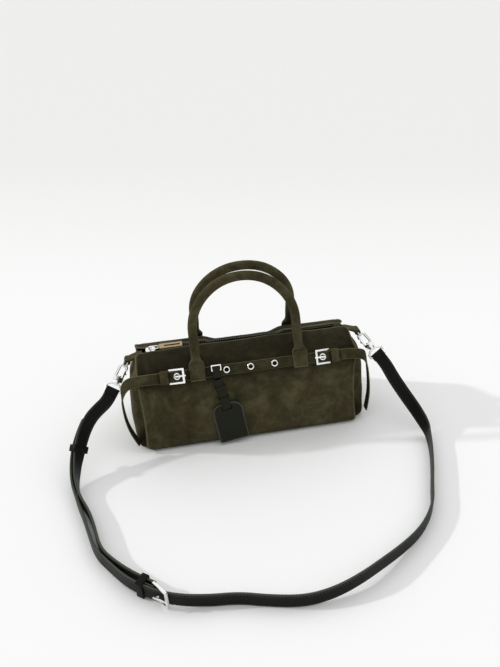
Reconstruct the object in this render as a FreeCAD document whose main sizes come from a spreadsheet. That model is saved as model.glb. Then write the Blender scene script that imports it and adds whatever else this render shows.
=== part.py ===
"""Barrel bag in suede with two rolled handles, a buckled belt, a luggage tag and a shoulder strap.

The frame has its origin under the middle of the bag, on the floor, with +Z up, +X along the bag to the
right as seen from its front, and the front face towards -Y.  All sizes are in millimetres.
"""
import FreeCAD, Part
import math
import os
import Sketcher
from FreeCAD import Placement, Rotation, Vector

document = FreeCAD.newDocument("barrel_bag")
sheet = document.addObject("Spreadsheet::Sheet", "Dimensions")

DIMENSIONS = (
    ("panel_length", 300, "length of a body panel at the floor"),
    ("panel_top_length", 288, "length of a body panel at the zip"),
    ("panel_corner", 9, "cut at the upper corners of a body panel"),
    ("body_depth", 130, "depth of the body where the panels meet the floor"),
    ("body_height", 130, "height of the panels' top edges"),
    ("shoulder_drop", 35, "height from the place where a panel starts to turn in up to its top edge"),
    ("shoulder_inset", 17, "how far a panel leans in from the floor to that place"),
    ("ridge_gap", 15, "gap between the panels' top edges, for the zip"),
    ("base_corner", 10, "radius of the turn from panel to base"),
    ("base_seam_inset", 15, "distance of a base seam from the body's outer edge"),
    ("suede_thickness", 2.2, "thickness of a body panel with its backing"),
    ("soft_gap", 0.3, "clearance between neighbouring pieces"),
    ("gusset_thickness", 1.6, "thickness of an end gusset"),
    ("gusset_flange", 10, "strip of the gusset sewn inside the panel"),
    ("gusset_pleat", 9, "depth of the gusset's folded-in pleat"),
    ("gusset_bulge", 17, "how far the gusset stands out of the panels' ends"),
    ("gusset_drop", 8, "distance of a gusset's top edge below the panels' top edges"),
    ("base_end_gap", 14, "distance from a panel's end to the base's end"),
    ("board_thickness", 2, "thickness of the stiffening board in the base"),
    ("board_margin", 2, "distance from the base's edge to the board's edge"),
    ("lining_thickness", 0.7, "thickness of the lining cloth"),
    ("lining_end_gap", 18, "distance from a panel's top end to the lining's end"),
    ("tape_width", 9, "visible and sewn width of one zip tape"),
    ("tape_thickness", 0.9, "thickness of a zip tape"),
    ("tape_drop", 1.5, "depth of the tapes below the panels' edges"),
    ("tape_end_gap", 4, "distance from a panel's top end to a tape's end"),
    ("teeth_gap", 7, "open gap between the two rows of teeth"),
    ("tooth_depth", 2.2, "how far a tooth stands out of its tape"),
    ("tooth_height", 2.6, "height of a tooth"),
    ("tooth_pitch", 3, "distance from tooth to tooth"),
    ("slider_length", 13, "length of the zip slider"),
    ("slider_width", 11.5, "width of the zip slider"),
    ("slider_plate", 1.4, "thickness of each plate of the slider"),
    ("slider_rest", 131, "distance of the parked slider from the bag's middle"),
    ("bail_height", 4.4, "height of the slider's bail"),
    ("link_wire", 1.6, "wire diameter of the link on the slider"),
    ("link_length", 11, "distance between the link's two cross wires"),
    ("link_width", 7, "distance between the link's two side wires"),
    ("pull_length", 33, "length of the zip pull"),
    ("pull_width", 12, "width of the zip pull"),
    ("pull_thickness", 2, "thickness of the zip pull"),
    ("end_tab_length", 10, "length of the leather tab at the zip's end"),
    ("end_tab_thickness", 1.3, "thickness of that tab"),
    ("end_tab_place", 129, "distance of the end tab's start from the bag's middle"),
    ("handle_diameter", 12.6, "outside diameter of a rolled handle"),
    ("handle_wall", 1.7, "thickness of the suede rolled round a handle's core"),
    ("handle_span", 138, "distance between the two legs of a handle"),
    ("handle_rise", 104, "height of a handle above its tabs"),
    ("handle_shift", 3.5, "shift of a handle to the left, as seen from its own side of the bag"),
    ("handle_tilt", 9.5, "lean of the handles towards each other, in degrees"),
    ("tab_width", 20, "width of a handle tab"),
    ("tab_reach", 10, "how far a handle tab reaches below the belt's middle"),
    ("tab_neck", 12.6, "width of a handle tab's rolled neck"),
    ("tab_neck_start", 9, "height of the neck's start above the belt's middle"),
    ("tab_thickness", 2, "thickness of a handle tab"),
    ("tab_hinge_height", 22.5, "height of the handle's foot above the belt's middle"),
    ("belt_drop", 22, "distance of the belt's middle below the panels' top edges"),
    ("belt_width", 14.5, "width of the belt"),
    ("belt_thickness", 2, "thickness of the belt"),
    ("belt_lift", 2.2, "distance of the belt from the panel, where the tag's loop passes"),
    ("eyelet_spacing", 33, "distance between the eyelets in the belt's middle"),
    ("eyelet_diameter", 10, "outside diameter of an eyelet"),
    ("eyelet_bore", 5.2, "inside diameter of an eyelet"),
    ("eyelet_flange", 0.6, "thickness of an eyelet's flange"),
    ("buckle_place", 109.5, "distance of a belt buckle's heel bar from the bag's middle"),
    ("buckle_length", 19, "distance between a belt buckle's two bars"),
    ("buckle_width", 18.6, "inside width of a belt buckle"),
    ("buckle_wire", 2.2, "thickness of a belt buckle's bars"),
    ("anchor_ply", 1.2, "thickness of one ply of a buckle's anchor strap"),
    ("keeper_length", 11, "length of a belt keeper"),
    ("keeper_wall", 1.4, "thickness of a belt keeper"),
    ("keeper_place", 117, "distance of a belt keeper from the bag's middle"),
    ("tag_place", 47, "distance of the tag's loop from the bag's middle"),
    ("tag_width", 40, "width of the luggage tag"),
    ("tag_length", 57, "length of the luggage tag"),
    ("tag_thickness", 2.4, "thickness of the luggage tag"),
    ("tag_corner", 11, "radius of the tag's upper corners"),
    ("tag_slot_width", 14, "width of the slot in the tag"),
    ("tag_slot_height", 4.8, "height of the slot in the tag"),
    ("tag_slot_drop", 5, "distance from the tag's top edge to its slot"),
    ("hanger_width", 11.5, "width of the tag's hanger strap"),
    ("hanger_ply", 1.2, "thickness of one ply of the hanger strap"),
    ("hanger_length", 46, "length of the hanger strap below the belt"),
    ("hanger_tilt", 12, "sideways tilt of the hanger strap, in degrees"),
    ("tag_tilt", 8, "sideways tilt of the tag, in degrees"),
    ("ring_place", 164, "distance of a D-ring's bar from the bag's middle"),
    ("ring_drop", 14, "distance of a D-ring's bar below the panels' top edges"),
    ("ring_wire", 2.6, "wire diameter of a D-ring"),
    ("ring_width", 16, "width of a D-ring between wire centres"),
    ("ring_straight", 3, "length of the D-ring's straight sides"),
    ("ring_tilt", 40, "angle of a D-ring from straight down, in degrees"),
    ("ring_tab_width", 13, "width of the tab that holds a D-ring"),
    ("ring_tab_thickness", 2.8, "thickness of that tab"),
    ("hook_tilt", 35, "angle of the hook round its D-ring, in degrees"),
    ("hook_wire", 3.6, "wire diameter of a snap hook"),
    ("hook_width", 10, "width of a snap hook between wire centres"),
    ("hook_length", 19, "length of a snap hook's eye"),
    ("swivel_wire", 3.4, "diameter of the swivel's post"),
    ("strap_width", 18, "width of the shoulder strap"),
    ("strap_thickness", 3, "thickness of the shoulder strap"),
    ("loop_wire", 2.8, "wire diameter of the strap loop under a hook"),
    ("loop_length", 9, "distance from the swivel to the strap loop's bar"),
    ("strap_buckle_length", 19, "distance between the strap buckle's two bars"),
    ("strap_buckle_wire", 2.8, "thickness of the strap buckle's bars"),
    ("strap_keeper_length", 9, "length of a strap keeper"),
    ("strap_keeper_wall", 1.5, "thickness of a strap keeper"),
)
for row, (alias, value, note) in enumerate(DIMENSIONS, start=1):
    sheet.set(f"A{row}", note)
    sheet.set(f"B{row}", str(value))
    sheet.setAlias(f"B{row}", alias)
document.recompute()

X = Vector(1, 0, 0)
Y = Vector(0, 1, 0)
Z = Vector(0, 0, 1)
FIT = 0.08
pieces = []
hinges = {}


def size(alias):
    """The value of one cell of the sheet."""
    return float(sheet.get(alias))


def unit(vector):
    """A copy of a vector, one millimetre long."""
    return vector * (1 / vector.Length)


def axes(origin, first, second):
    """The placement whose local X and Y run along first and second from origin."""
    third = first.cross(second)
    return Placement(FreeCAD.Matrix(
        first.x, second.x, third.x, origin.x,
        first.y, second.y, third.y, origin.y,
        first.z, second.z, third.z, origin.z,
        0, 0, 0, 1))


def keep(piece, label, placement=None):
    """Name a finished sub-part and set where it is."""
    piece.Label = label
    if placement is not None:
        piece.Placement = placement
    pieces.append(piece)
    return piece


def feature(label, shape, placement=Placement()):
    """A sub-part whose shape was made with Part's own functions."""
    piece = document.addObject("Part::Feature", label)
    piece.Shape = shape
    return keep(piece, label, placement * shape.Placement)


def extrude(points, direction):
    """A straight prism on a closed outline of corner points."""
    return Part.Face(Part.makePolygon(points + points[:1])).extrude(direction)


def block(low, high):
    """A box between two opposite corners."""
    span = high - low
    return Part.makeBox(span.x, span.y, span.z, low)


def rod(start, end, radius):
    """A round bar from point to point."""
    return Part.makeCylinder(radius, (end - start).Length, start, end - start)


def wire_tube(edges, radius):
    """A round bar along edges that join smoothly."""
    path = Part.Wire(edges)
    first = edges[0]
    start = first.valueAt(first.FirstParameter)
    tangent = first.tangentAt(first.FirstParameter)
    ring = Part.Wire(Part.makeCircle(radius, start, tangent))
    return path.makePipeShell([ring], True, False)


def origin_plane(body, role):
    """One of a body's own base planes."""
    return next(plane for plane in body.Origin.OriginFeatures if plane.Role == role)


def sketch_outline(body, name, role, corners):
    """A closed outline of straight sides, each corner held by two expressions."""
    sketch = body.newObject("Sketcher::SketchObject", name)
    sketch.AttachmentSupport = (origin_plane(body, role), [""])
    sketch.MapMode = "FlatFace"
    places = [Vector(*(float(sheet.evalExpression(text)) for text in corner), 0) for corner in corners]
    count = len(places)
    for index in range(count):
        sketch.addGeometry(Part.LineSegment(places[index], places[(index + 1) % count]), False)
    for index in range(count):
        sketch.addConstraint(Sketcher.Constraint("Coincident", index, 2, (index + 1) % count, 1))
    for index, corner in enumerate(corners):
        for kind, text in zip(("DistanceX", "DistanceY"), corner):
            value = float(sheet.evalExpression(text))
            number = sketch.addConstraint(Sketcher.Constraint(kind, -1, 1, index, 1, value))
            sketch.setExpression(f"Constraints[{number}]", bound(text))
    return sketch


def bound(text):
    """An expression in the sheet's own words, as other objects have to write it."""
    words = []
    for word in text.replace("(", " ( ").replace(")", " ) ").split():
        words.append(f"Dimensions.{word}" if word[0].isalpha() else word)
    return " ".join(words)


def pad(body, sketch, length_text):
    """The outline made solid, half of it on each side of the sketch."""
    solid = body.newObject("PartDesign::Pad", sketch.Name + "_pad")
    solid.Profile = sketch
    solid.setExpression("Length", bound(length_text))
    solid.Midplane = True
    return solid


def box_piece(name, low, high):
    """A box whose two corners are expressions in the sheet's words."""
    box = document.addObject("Part::Box", name)
    for side, first, second in zip(("Length", "Width", "Height"), low, high):
        box.setExpression(side, bound(f"( {second} ) - ( {first} )"))
    for axis, first in zip("xyz", low):
        box.setExpression(f"Placement.Base.{axis}", bound(first))
    return box


# Section of the body: floor, rounded corner, leaning front and round shoulder up to the zip.
half_depth = size("body_depth") / 2
seam_half = half_depth - size("base_seam_inset")
gusset_height = size("body_height") - size("gusset_drop")
belt_height = size("body_height") - size("belt_drop")
ring_height = size("body_height") - size("ring_drop")
shoulder_point = Vector(0, half_depth - size("shoulder_inset"), size("body_height") - size("shoulder_drop"))
ridge_point = Vector(0, size("ridge_gap") / 2, size("body_height"))
foot_point = Vector(0, half_depth, 0)
lean = unit(shoulder_point - foot_point)
inward = Vector(0, -lean.z, lean.y)
corner_reach = size("base_corner") / math.tan(math.acos(-lean.y) / 2)
corner_centre = Vector(0, half_depth - corner_reach, size("base_corner"))
ridge_chord = ridge_point - shoulder_point
shoulder_radius = ridge_chord.dot(ridge_chord) / (2 * ridge_chord.dot(inward))
shoulder_centre = shoulder_point + inward * shoulder_radius


def corner_arc(offset):
    """The turn from the floor up into the panel, at a depth below the outer face."""
    radius = size("base_corner") - offset
    start = corner_centre - Z * radius
    end = corner_centre - inward * radius
    middle = corner_centre + unit((start - corner_centre) + (end - corner_centre)) * radius
    return Part.Arc(start, middle, end)


def shoulder_arc(offset):
    """The round shoulder up to the zip, at a depth below the outer face."""
    radius = shoulder_radius - offset
    start = shoulder_centre - inward * radius
    end = shoulder_centre + unit(ridge_point - shoulder_centre) * radius
    middle = shoulder_centre + unit((start - shoulder_centre) + (end - shoulder_centre)) * radius
    return Part.Arc(start, middle, end)


def line(start, end):
    """A straight edge."""
    return Part.LineSegment(start, end).toShape()


def body_half_depth(height, offset):
    """Half the depth of the section at a height, at a depth below the outer face."""
    corner_radius = size("base_corner") - offset
    round_radius = shoulder_radius - offset
    corner_top = corner_centre.z - inward.z * corner_radius
    shoulder_start = shoulder_centre.z - inward.z * round_radius
    if height < corner_top:
        drop = corner_centre.z - height
        return corner_centre.y + math.sqrt(max(corner_radius ** 2 - drop ** 2, 0))
    if height > shoulder_start:
        climb = height - shoulder_centre.z
        return shoulder_centre.y + math.sqrt(max(round_radius ** 2 - climb ** 2, 0))
    return foot_point.y + inward.y * offset + (height - inward.z * offset) * lean.y / lean.z


def panel_end(height):
    """Half the panels' length at a height."""
    taper = (size("panel_length") - size("panel_top_length")) / 2
    return size("panel_length") / 2 - taper * height / size("body_height")


def panel_solid():
    """One body panel, from the base's seam round the corner and up over the shoulder."""
    wall = size("suede_thickness")
    seam = Vector(0, seam_half, 0)
    outer_corner, inner_corner = corner_arc(0), corner_arc(wall)
    outer_top, inner_top = shoulder_arc(0), shoulder_arc(wall)
    outline = Part.Wire([
        line(seam, outer_corner.StartPoint), outer_corner.toShape(),
        line(outer_corner.EndPoint, outer_top.StartPoint), outer_top.toShape(),
        line(outer_top.EndPoint, inner_top.EndPoint), inner_top.toShape(),
        line(inner_top.StartPoint, inner_corner.EndPoint), inner_corner.toShape(),
        line(inner_corner.StartPoint, seam + Z * wall), line(seam + Z * wall, seam)])
    length = size("panel_length")
    strip = Part.Face(outline).extrude(X * length)
    strip.translate(X * (-length / 2))
    high = size("body_height")
    cut = size("panel_corner")
    right_end = [Vector(panel_end(0), 0, 0), Vector(panel_end(high - cut), 0, high - cut),
                 Vector(panel_end(high) - cut, 0, high), Vector(panel_end(high) - cut, 0, high + wall)]
    ends = right_end + [Vector(-point.x, 0, point.z) for point in reversed(right_end)]
    return strip.common(extrude(ends, Y * size("body_depth")))


turned = Placement(Vector(), Rotation(Z, 180))
feature("back_panel", panel_solid())
feature("front_panel", panel_solid(), turned)

# Base: a suede floor between the two panels, with a stiff board laid inside it.
keep(box_piece("base_panel",
               ("base_end_gap - panel_length / 2", "base_seam_inset - body_depth / 2", "0 * suede_thickness"),
               ("panel_length / 2 - base_end_gap", "body_depth / 2 - base_seam_inset", "suede_thickness")),
     "base_panel")

board = document.addObject("PartDesign::Body", "base_board")
board_x = "( panel_length / 2 - base_end_gap - board_margin )"
board_y = "( body_depth / 2 - base_seam_inset - board_margin )"
board_sketch = sketch_outline(board, "board_outline", "XY_Plane", (
    (f"-1 * {board_x}", f"-1 * {board_y}"), (board_x, f"-1 * {board_y}"),
    (board_x, board_y), (f"-1 * {board_x}", board_y)))
pad(board, board_sketch, "board_thickness")
board.setExpression("Placement.Base.z", bound("suede_thickness + board_thickness / 2"))
keep(board, "base_board")


# Gussets: suede ends with a pleat folded in behind each panel's edge and a middle that bulges out.
# Each level is a share of the gusset's height, of the pleat's depth and of the bulge.
GUSSET_LEVELS = ((0.02, 0.5, 0.45), (0.1, 0.8, 0.62), (0.3, 1.0, 0.92), (0.58, 1.0, 1.0),
                 (0.78, 0.8, 0.85), (0.9, 0.35, 0.5), (1.0, 0.0, 0.2))


def left_of(points, distance):
    """A row of points moved to its left side, with its corners mitred."""
    sides = []
    for start, end in zip(points, points[1:]):
        along = unit(end - start)
        sides.append(Vector(-along.y, along.x, 0))
    moved = [points[0] + sides[0] * distance]
    for point, before, after in zip(points[1:], sides, sides[1:]):
        miter = before + after
        moved.append(point + miter * (2 * distance / miter.dot(miter)))
    moved.append(points[-1] + sides[-1] * distance)
    return moved


def gusset_section(height, half, pleat, bulge):
    """The outline of the right gusset at one height, seen from above."""
    edge = panel_end(height)
    seam_x = edge - size("soft_gap")
    front = [Vector(edge - size("gusset_flange"), -half, 0), Vector(seam_x, -half, 0),
             Vector(seam_x - pleat, -0.8 * half, 0), Vector(edge + 0.75 * bulge, -0.58 * half, 0),
             Vector(edge + bulge, -0.22 * half, 0)]
    outer = front + [Vector(point.x, -point.y, 0) for point in reversed(front)]
    inner = left_of(outer, size("gusset_thickness"))
    outline = [point + Z * height for point in outer + inner[::-1]]
    return Part.makePolygon(outline + outline[:1])


def gusset_solid():
    """The right gusset, from the floor to its top edge under the zip."""
    wall = size("suede_thickness")
    gap = size("soft_gap")
    bulge = size("gusset_bulge")
    pleat = size("gusset_pleat")
    sections = [gusset_section(0, seam_half - gap, 0.4 * pleat, 0.4 * bulge),
                gusset_section(wall + gap, seam_half - gap, 0.45 * pleat, 0.43 * bulge)]
    for share, pleat_share, bulge_share in GUSSET_LEVELS[1:]:
        height = share * gusset_height
        half = body_half_depth(height, wall + gap)
        sections.append(gusset_section(height, half, pleat_share * pleat, bulge_share * bulge))
    return Part.makeLoft(sections, True, True)


feature("right_gusset", gusset_solid())
feature("left_gusset", gusset_solid(), turned)


def lining_solid():
    """The cloth that covers one panel inside."""
    outer_depth = size("suede_thickness") + size("soft_gap")
    inner_depth = outer_depth + size("lining_thickness")
    outer_top, inner_top = shoulder_arc(outer_depth), shoulder_arc(inner_depth)
    outer_low = corner_arc(outer_depth).EndPoint
    inner_low = corner_arc(inner_depth).EndPoint
    outline = Part.Wire([
        line(outer_low, outer_top.StartPoint), outer_top.toShape(),
        line(outer_top.EndPoint, inner_top.EndPoint), inner_top.toShape(),
        line(inner_top.StartPoint, inner_low), line(inner_low, outer_low)])
    length = size("panel_top_length") - 2 * size("lining_end_gap")
    cloth = Part.Face(outline).extrude(X * length)
    cloth.translate(X * (-length / 2))
    tape_edge = size("teeth_gap") / 2 + size("tooth_depth") + size("tape_width") + size("soft_gap")
    under_tape = block(Vector(-length, -1, shoulder_point.z),
                       Vector(length, tape_edge, 2 * size("body_height")))
    return cloth.cut(under_tape)


feature("back_lining", lining_solid())
feature("front_lining", lining_solid(), turned)

# Zip: two tapes sewn under the panels' top edges, each with its row of metal teeth.
ridge_inside = shoulder_arc(size("suede_thickness")).EndPoint.z
tape_top = ridge_inside - size("tape_drop")
tape_half = size("panel_top_length") / 2 - size("tape_end_gap")
teeth_inner = size("teeth_gap") / 2
teeth_outer = teeth_inner + size("tooth_depth")
teeth_middle = tape_top - size("tape_thickness") / 2
for side, way in (("front", -1), ("back", 1)):
    tape = block(Vector(-tape_half, teeth_outer, tape_top - size("tape_thickness")),
                 Vector(tape_half, teeth_outer + size("tape_width"), tape_top))
    feature(f"zip_tape_{side}", tape, turned if way < 0 else Placement())

teeth_half = tape_half - size("tooth_pitch")
teeth_count = int(2 * teeth_half / size("tooth_pitch"))


def teeth_solid(shift):
    """One row of teeth as a comb along the tape's edge."""
    pitch = size("tooth_pitch")
    root = teeth_outer - 0.4 * size("tooth_depth")
    start = -teeth_count * pitch / 2 + shift
    points = []
    for number in range(teeth_count):
        left = start + number * pitch
        for along, depth in ((0, root), (0.25, root), (0.25, teeth_inner), (0.75, teeth_inner), (0.75, root)):
            points.append(Vector(left + along * pitch, depth, 0))
    points += [Vector(points[-1].x, teeth_outer, 0), Vector(points[0].x, teeth_outer, 0)]
    comb = extrude(points, Z * size("tooth_height"))
    comb.translate(Z * (teeth_middle - size("tooth_height") / 2))
    return comb


feature("zip_teeth_back", teeth_solid(0))
feature("zip_teeth_front", teeth_solid(size("tooth_pitch") / 2), turned)

# Slider: two plates over and under the teeth, joined by a wedge between the rows, with a bail on top.
slider_x = -size("slider_rest")
plate_half = size("slider_width") / 2
slider_half = size("slider_length") / 2
upper_low = teeth_middle + size("tooth_height") / 2 + size("soft_gap")
lower_high = teeth_middle - size("tooth_height") / 2 - size("soft_gap")
upper_high = upper_low + size("slider_plate")
link_radius = size("link_wire") / 2
bail_centre = upper_high + size("bail_height") / 2
upper_plate = block(Vector(-slider_half, -plate_half, upper_low), Vector(slider_half, plate_half, upper_high))
lower_plate = block(Vector(-slider_half, -plate_half, lower_high - size("slider_plate")),
                    Vector(slider_half, plate_half, lower_high))
corners = [edge for edge in upper_plate.Edges if abs(edge.tangentAt(0).z) > 0.9]
upper_plate = upper_plate.makeFillet(size("slider_length") / 4, corners)
corners = [edge for edge in lower_plate.Edges if abs(edge.tangentAt(0).z) > 0.9]
lower_plate = lower_plate.makeFillet(size("slider_length") / 4, corners)
wedge_half = teeth_inner - size("soft_gap")
wedge = block(Vector(-slider_half, -wedge_half, lower_high), Vector(0, wedge_half, upper_low))
bail_wall = size("bail_height") / 2
bail = rod(Vector(0, -1.4, bail_centre), Vector(0, 1.4, bail_centre), bail_wall)
bail = bail.fuse(block(Vector(-bail_wall, -1.4, upper_high), Vector(bail_wall, 1.4, bail_centre)))
bore = rod(Vector(0, -plate_half, bail_centre), Vector(0, plate_half, bail_centre), link_radius + FIT)
slider = upper_plate.fuse([lower_plate, wedge, bail]).cut(bore).removeSplitter()
feature("zip_slider", slider, Placement(Vector(slider_x, 0, 0), Rotation()))

# Link: a wire frame whose first cross wire runs through the bail, and whose second carries the pull.
link_half = size("link_width") / 2
link_end = size("link_length")
link = rod(Vector(0, -link_half, 0), Vector(0, link_half, 0), link_radius)
for start, end in (((0, -1), (1, -1)), ((1, -1), (1, 1)), ((1, 1), (0, 1))):
    first = Vector(start[0] * link_end, start[1] * link_half, 0)
    last = Vector(end[0] * link_end, end[1] * link_half, 0)
    link = link.fuse([rod(first, last, link_radius), Part.makeSphere(link_radius, first),
                      Part.makeSphere(link_radius, last)])
link_place = Vector(slider_x, 0, bail_centre)
feature("zip_link", link.removeSplitter(), Placement(link_place, Rotation()))
hinges["zip_slide"] = (Vector(slider_x, 0, teeth_middle), X)
hinges["zip_link_flip"] = (link_place, Y * -1)
hinges["zip_pull_flip"] = (link_place + X * link_end, Y * -1)

# Pull: a flat metal plate with a long slot, hung on the link by an eye.
eye_radius = link_radius + FIT + 0.9
eye_half = link_half - link_radius - size("soft_gap")
pull_body = document.addObject("PartDesign::Body", "zip_pull_plate")
pull_sketch = sketch_outline(pull_body, "pull_outline", "XY_Plane", (
    ("link_wire", "-1 * pull_width / 2"), ("pull_length", "-1 * pull_width / 2"),
    ("pull_length", "pull_width / 2"), ("link_wire", "pull_width / 2")))
pull_pad = pad(pull_body, pull_sketch, "pull_thickness")
slot_sketch = sketch_outline(pull_body, "pull_slot", "XY_Plane", (
    ("pull_length / 4", "-1 * pull_width / 7"), ("pull_length * 0.9", "-1 * pull_width / 7"),
    ("pull_length * 0.9", "pull_width / 7"), ("pull_length / 4", "pull_width / 7")))
slot_cut = pull_body.newObject("PartDesign::Pocket", "pull_slot_cut")
slot_cut.Profile = slot_sketch
slot_cut.Type = "ThroughAll"
slot_cut.Midplane = True
document.recompute()
eye = rod(Vector(0, -eye_half, 0), Vector(0, eye_half, 0), eye_radius)
eye = eye.fuse(block(Vector(0, -eye_half, -size("pull_thickness") / 2),
                     Vector(2 * size("link_wire"), eye_half, size("pull_thickness") / 2)))
clear_link = rod(Vector(0, -link_end, 0), Vector(0, link_end, 0), link_radius + size("soft_gap"))
plate = pull_body.Shape.cut(clear_link).fuse(eye)
plate = plate.cut(rod(Vector(0, -link_end, 0), Vector(0, link_end, 0), link_radius + FIT))
feature("zip_pull", plate.removeSplitter(), Placement(link_place + X * link_end, Rotation()))

# Zip end: a leather tab over the tapes' right end.
tab_half = size("ridge_gap") / 2 - 2 * size("soft_gap")
end_tab = block(Vector(0, -tab_half, 0), Vector(size("end_tab_length"), tab_half, size("end_tab_thickness")))
end_tab_z = teeth_middle + size("tooth_height") / 2 + size("soft_gap")
feature("zip_end_tab", end_tab, Placement(Vector(size("end_tab_place"), 0, end_tab_z), Rotation()))

# Rolled handles: a suede tube over a cord core whose rounded feet stand on the handle tabs.
belt_rise = belt_height - shoulder_centre.z
belt_out = math.sqrt(shoulder_radius ** 2 - belt_rise ** 2)
belt_origin = Vector(0, -(shoulder_centre.y + belt_out), belt_height)
belt_normal = Vector(0, -belt_out / shoulder_radius, belt_rise / shoulder_radius)
belt_up = Vector(0, belt_normal.z, -belt_normal.y)
tab_low = size("belt_lift") + size("belt_thickness") + size("soft_gap")
handle_radius = size("handle_diameter") / 2
foot_lifts = {"front": tab_low + size("tab_thickness") / 2,
              "back": size("soft_gap") + size("tab_thickness") / 2}
leg = size("handle_rise") - size("handle_span") / 2


def handle_path(start):
    """The arch of a handle, from a distance above one foot to the same above the other."""
    half = size("handle_span") / 2
    arch = Part.Arc(Vector(-half, 0, leg), Vector(0, 0, leg + half), Vector(half, 0, leg))
    return [line(Vector(-half, 0, start), Vector(-half, 0, leg)), arch.toShape(),
            line(Vector(half, 0, leg), Vector(half, 0, start))]


core_radius = handle_radius - size("handle_wall") - FIT
cover_start = 0.75 * handle_radius
cover_bore = wire_tube(handle_path(cover_start), handle_radius - size("handle_wall"))
cover = wire_tube(handle_path(cover_start), handle_radius).cut(cover_bore)
core = wire_tube(handle_path(0), core_radius)
for way in (-1, 1):
    core = core.fuse(Part.makeSphere(handle_radius, Vector(way * size("handle_span") / 2, 0, 0)))
for side, spin in (("front", 0), ("back", 180)):
    foot_centre = belt_origin + belt_up * size("tab_hinge_height") + belt_normal * foot_lifts[side]
    foot_centre -= X * size("handle_shift")
    stand = Placement(Vector(), Rotation(Z, spin)) * Placement(
        foot_centre, Rotation(X, -size("handle_tilt")))
    feature(f"{side}_handle", cover, stand)
    feature(f"{side}_handle_core", core.removeSplitter(), stand)
    hinges[f"{side}_handle_fold"] = (stand.Base, X if spin == 0 else X * -1)

# Handle tabs: a six-sided suede paddle sewn on, over the belt in front, with a neck under each handle's foot.
for side, spin in (("front", 0), ("back", 180)):
    for hand, way in (("left", -1), ("right", 1)):
        label = f"{side}_{hand}_handle_tab"
        paddle = document.addObject("PartDesign::Body", label)
        outline = sketch_outline(paddle, label + "_outline", "XY_Plane", (
            ("-1 * tab_width / 2 + 1", "-1 * tab_reach"), ("tab_width / 2 - 1", "-1 * tab_reach"),
            ("tab_width / 2", "0 * tab_reach"), ("tab_neck / 2", "tab_neck_start"),
            ("tab_neck / 2", "tab_hinge_height - handle_diameter / 2 - soft_gap"),
            ("-1 * tab_neck / 2", "tab_hinge_height - handle_diameter / 2 - soft_gap"),
            ("-1 * tab_neck / 2", "tab_neck_start"), ("-1 * tab_width / 2", "0 * tab_reach")))
        pad(paddle, outline, "tab_thickness")
        place = belt_origin + belt_normal * foot_lifts[side]
        place += X * (way * size("handle_span") / 2 - size("handle_shift"))
        spun = Placement(Vector(), Rotation(Z, spin))
        keep(paddle, label, spun * axes(place, X, belt_up))


# Straps as flat ribbons: straight runs joined by tangent arcs, with a width direction at each point.
ARC_STEPS = 4


def ribbon(points, widths, wide, thick):
    """A flat strap along a route, as a ruled loft, with the arcs' radii and the strap's length."""
    places = [points[0]]
    across = [widths[0]]
    radii = []
    for index in range(1, len(points) - 1):
        corner = points[index]
        before, after = corner - points[index - 1], points[index + 1] - corner
        turn = before.getAngle(after)
        reach = 0.45 * min(before.Length, after.Length)
        radius = reach / math.tan(turn / 2)
        radii.append(radius)
        start, end = corner - unit(before) * reach, corner + unit(after) * reach
        centre = corner + unit(unit(after) - unit(before)) * (radius / math.cos(turn / 2))
        for step in range(ARC_STEPS + 1):
            share = step / ARC_STEPS
            spoke = (start - centre) * math.sin(turn * (1 - share)) + (end - centre) * math.sin(turn * share)
            places.append(centre + spoke * (1 / math.sin(turn)))
            nearer = widths[index - 1] if share < 0.5 else widths[index + 1]
            across.append(widths[index] * (0.55 + 0.9 * min(share, 1 - share)) +
                          nearer * (0.45 - 0.9 * min(share, 1 - share)))
    places.append(points[-1])
    across.append(widths[-1])
    sections = []
    length = sum((second - first).Length for first, second in zip(places, places[1:]))
    for index, place in enumerate(places):
        ahead = places[min(index + 1, len(places) - 1)]
        behind = places[max(index - 1, 0)]
        along = unit(ahead - behind)
        side = unit(across[index] - along * across[index].dot(along)) * (wide / 2)
        face = along.cross(unit(side)) * (thick / 2)
        corners = [place + side + face, place - side + face, place - side - face, place + side - face]
        sections.append(Part.makePolygon(corners + corners[:1]))
    solid = Part.makeLoft(sections, True, True)
    return solid, radii, length


def report_strap(label, solid, radii, length, section):
    """Print a strap's bend radii and compare its volume with its section times its length."""
    tight = ", ".join(f"{radius:.0f}" for radius in radii)
    share = solid.Volume / (section * length)
    print(f"{label}: length {length:.0f} mm, radii {tight} mm, volume share {share:.3f}")


# Belt: one suede strip across the front, through a buckle and a keeper on each side, with loose tails.
buckle_x = size("buckle_place")
ply = size("anchor_ply")
gap = size("soft_gap")
bar_radius = size("buckle_wire") / 2
heel_lift = gap + ply + gap + bar_radius
belt_middle = size("belt_lift") + size("belt_thickness") / 2
belt_high = heel_lift + bar_radius + gap + ply + gap + size("belt_thickness") / 2
bar_x = buckle_x - size("buckle_length")


def on_belt(x, lift):
    """A point of the belt's plane, lifted off the panel."""
    return belt_origin + belt_normal * lift + X * x


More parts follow.
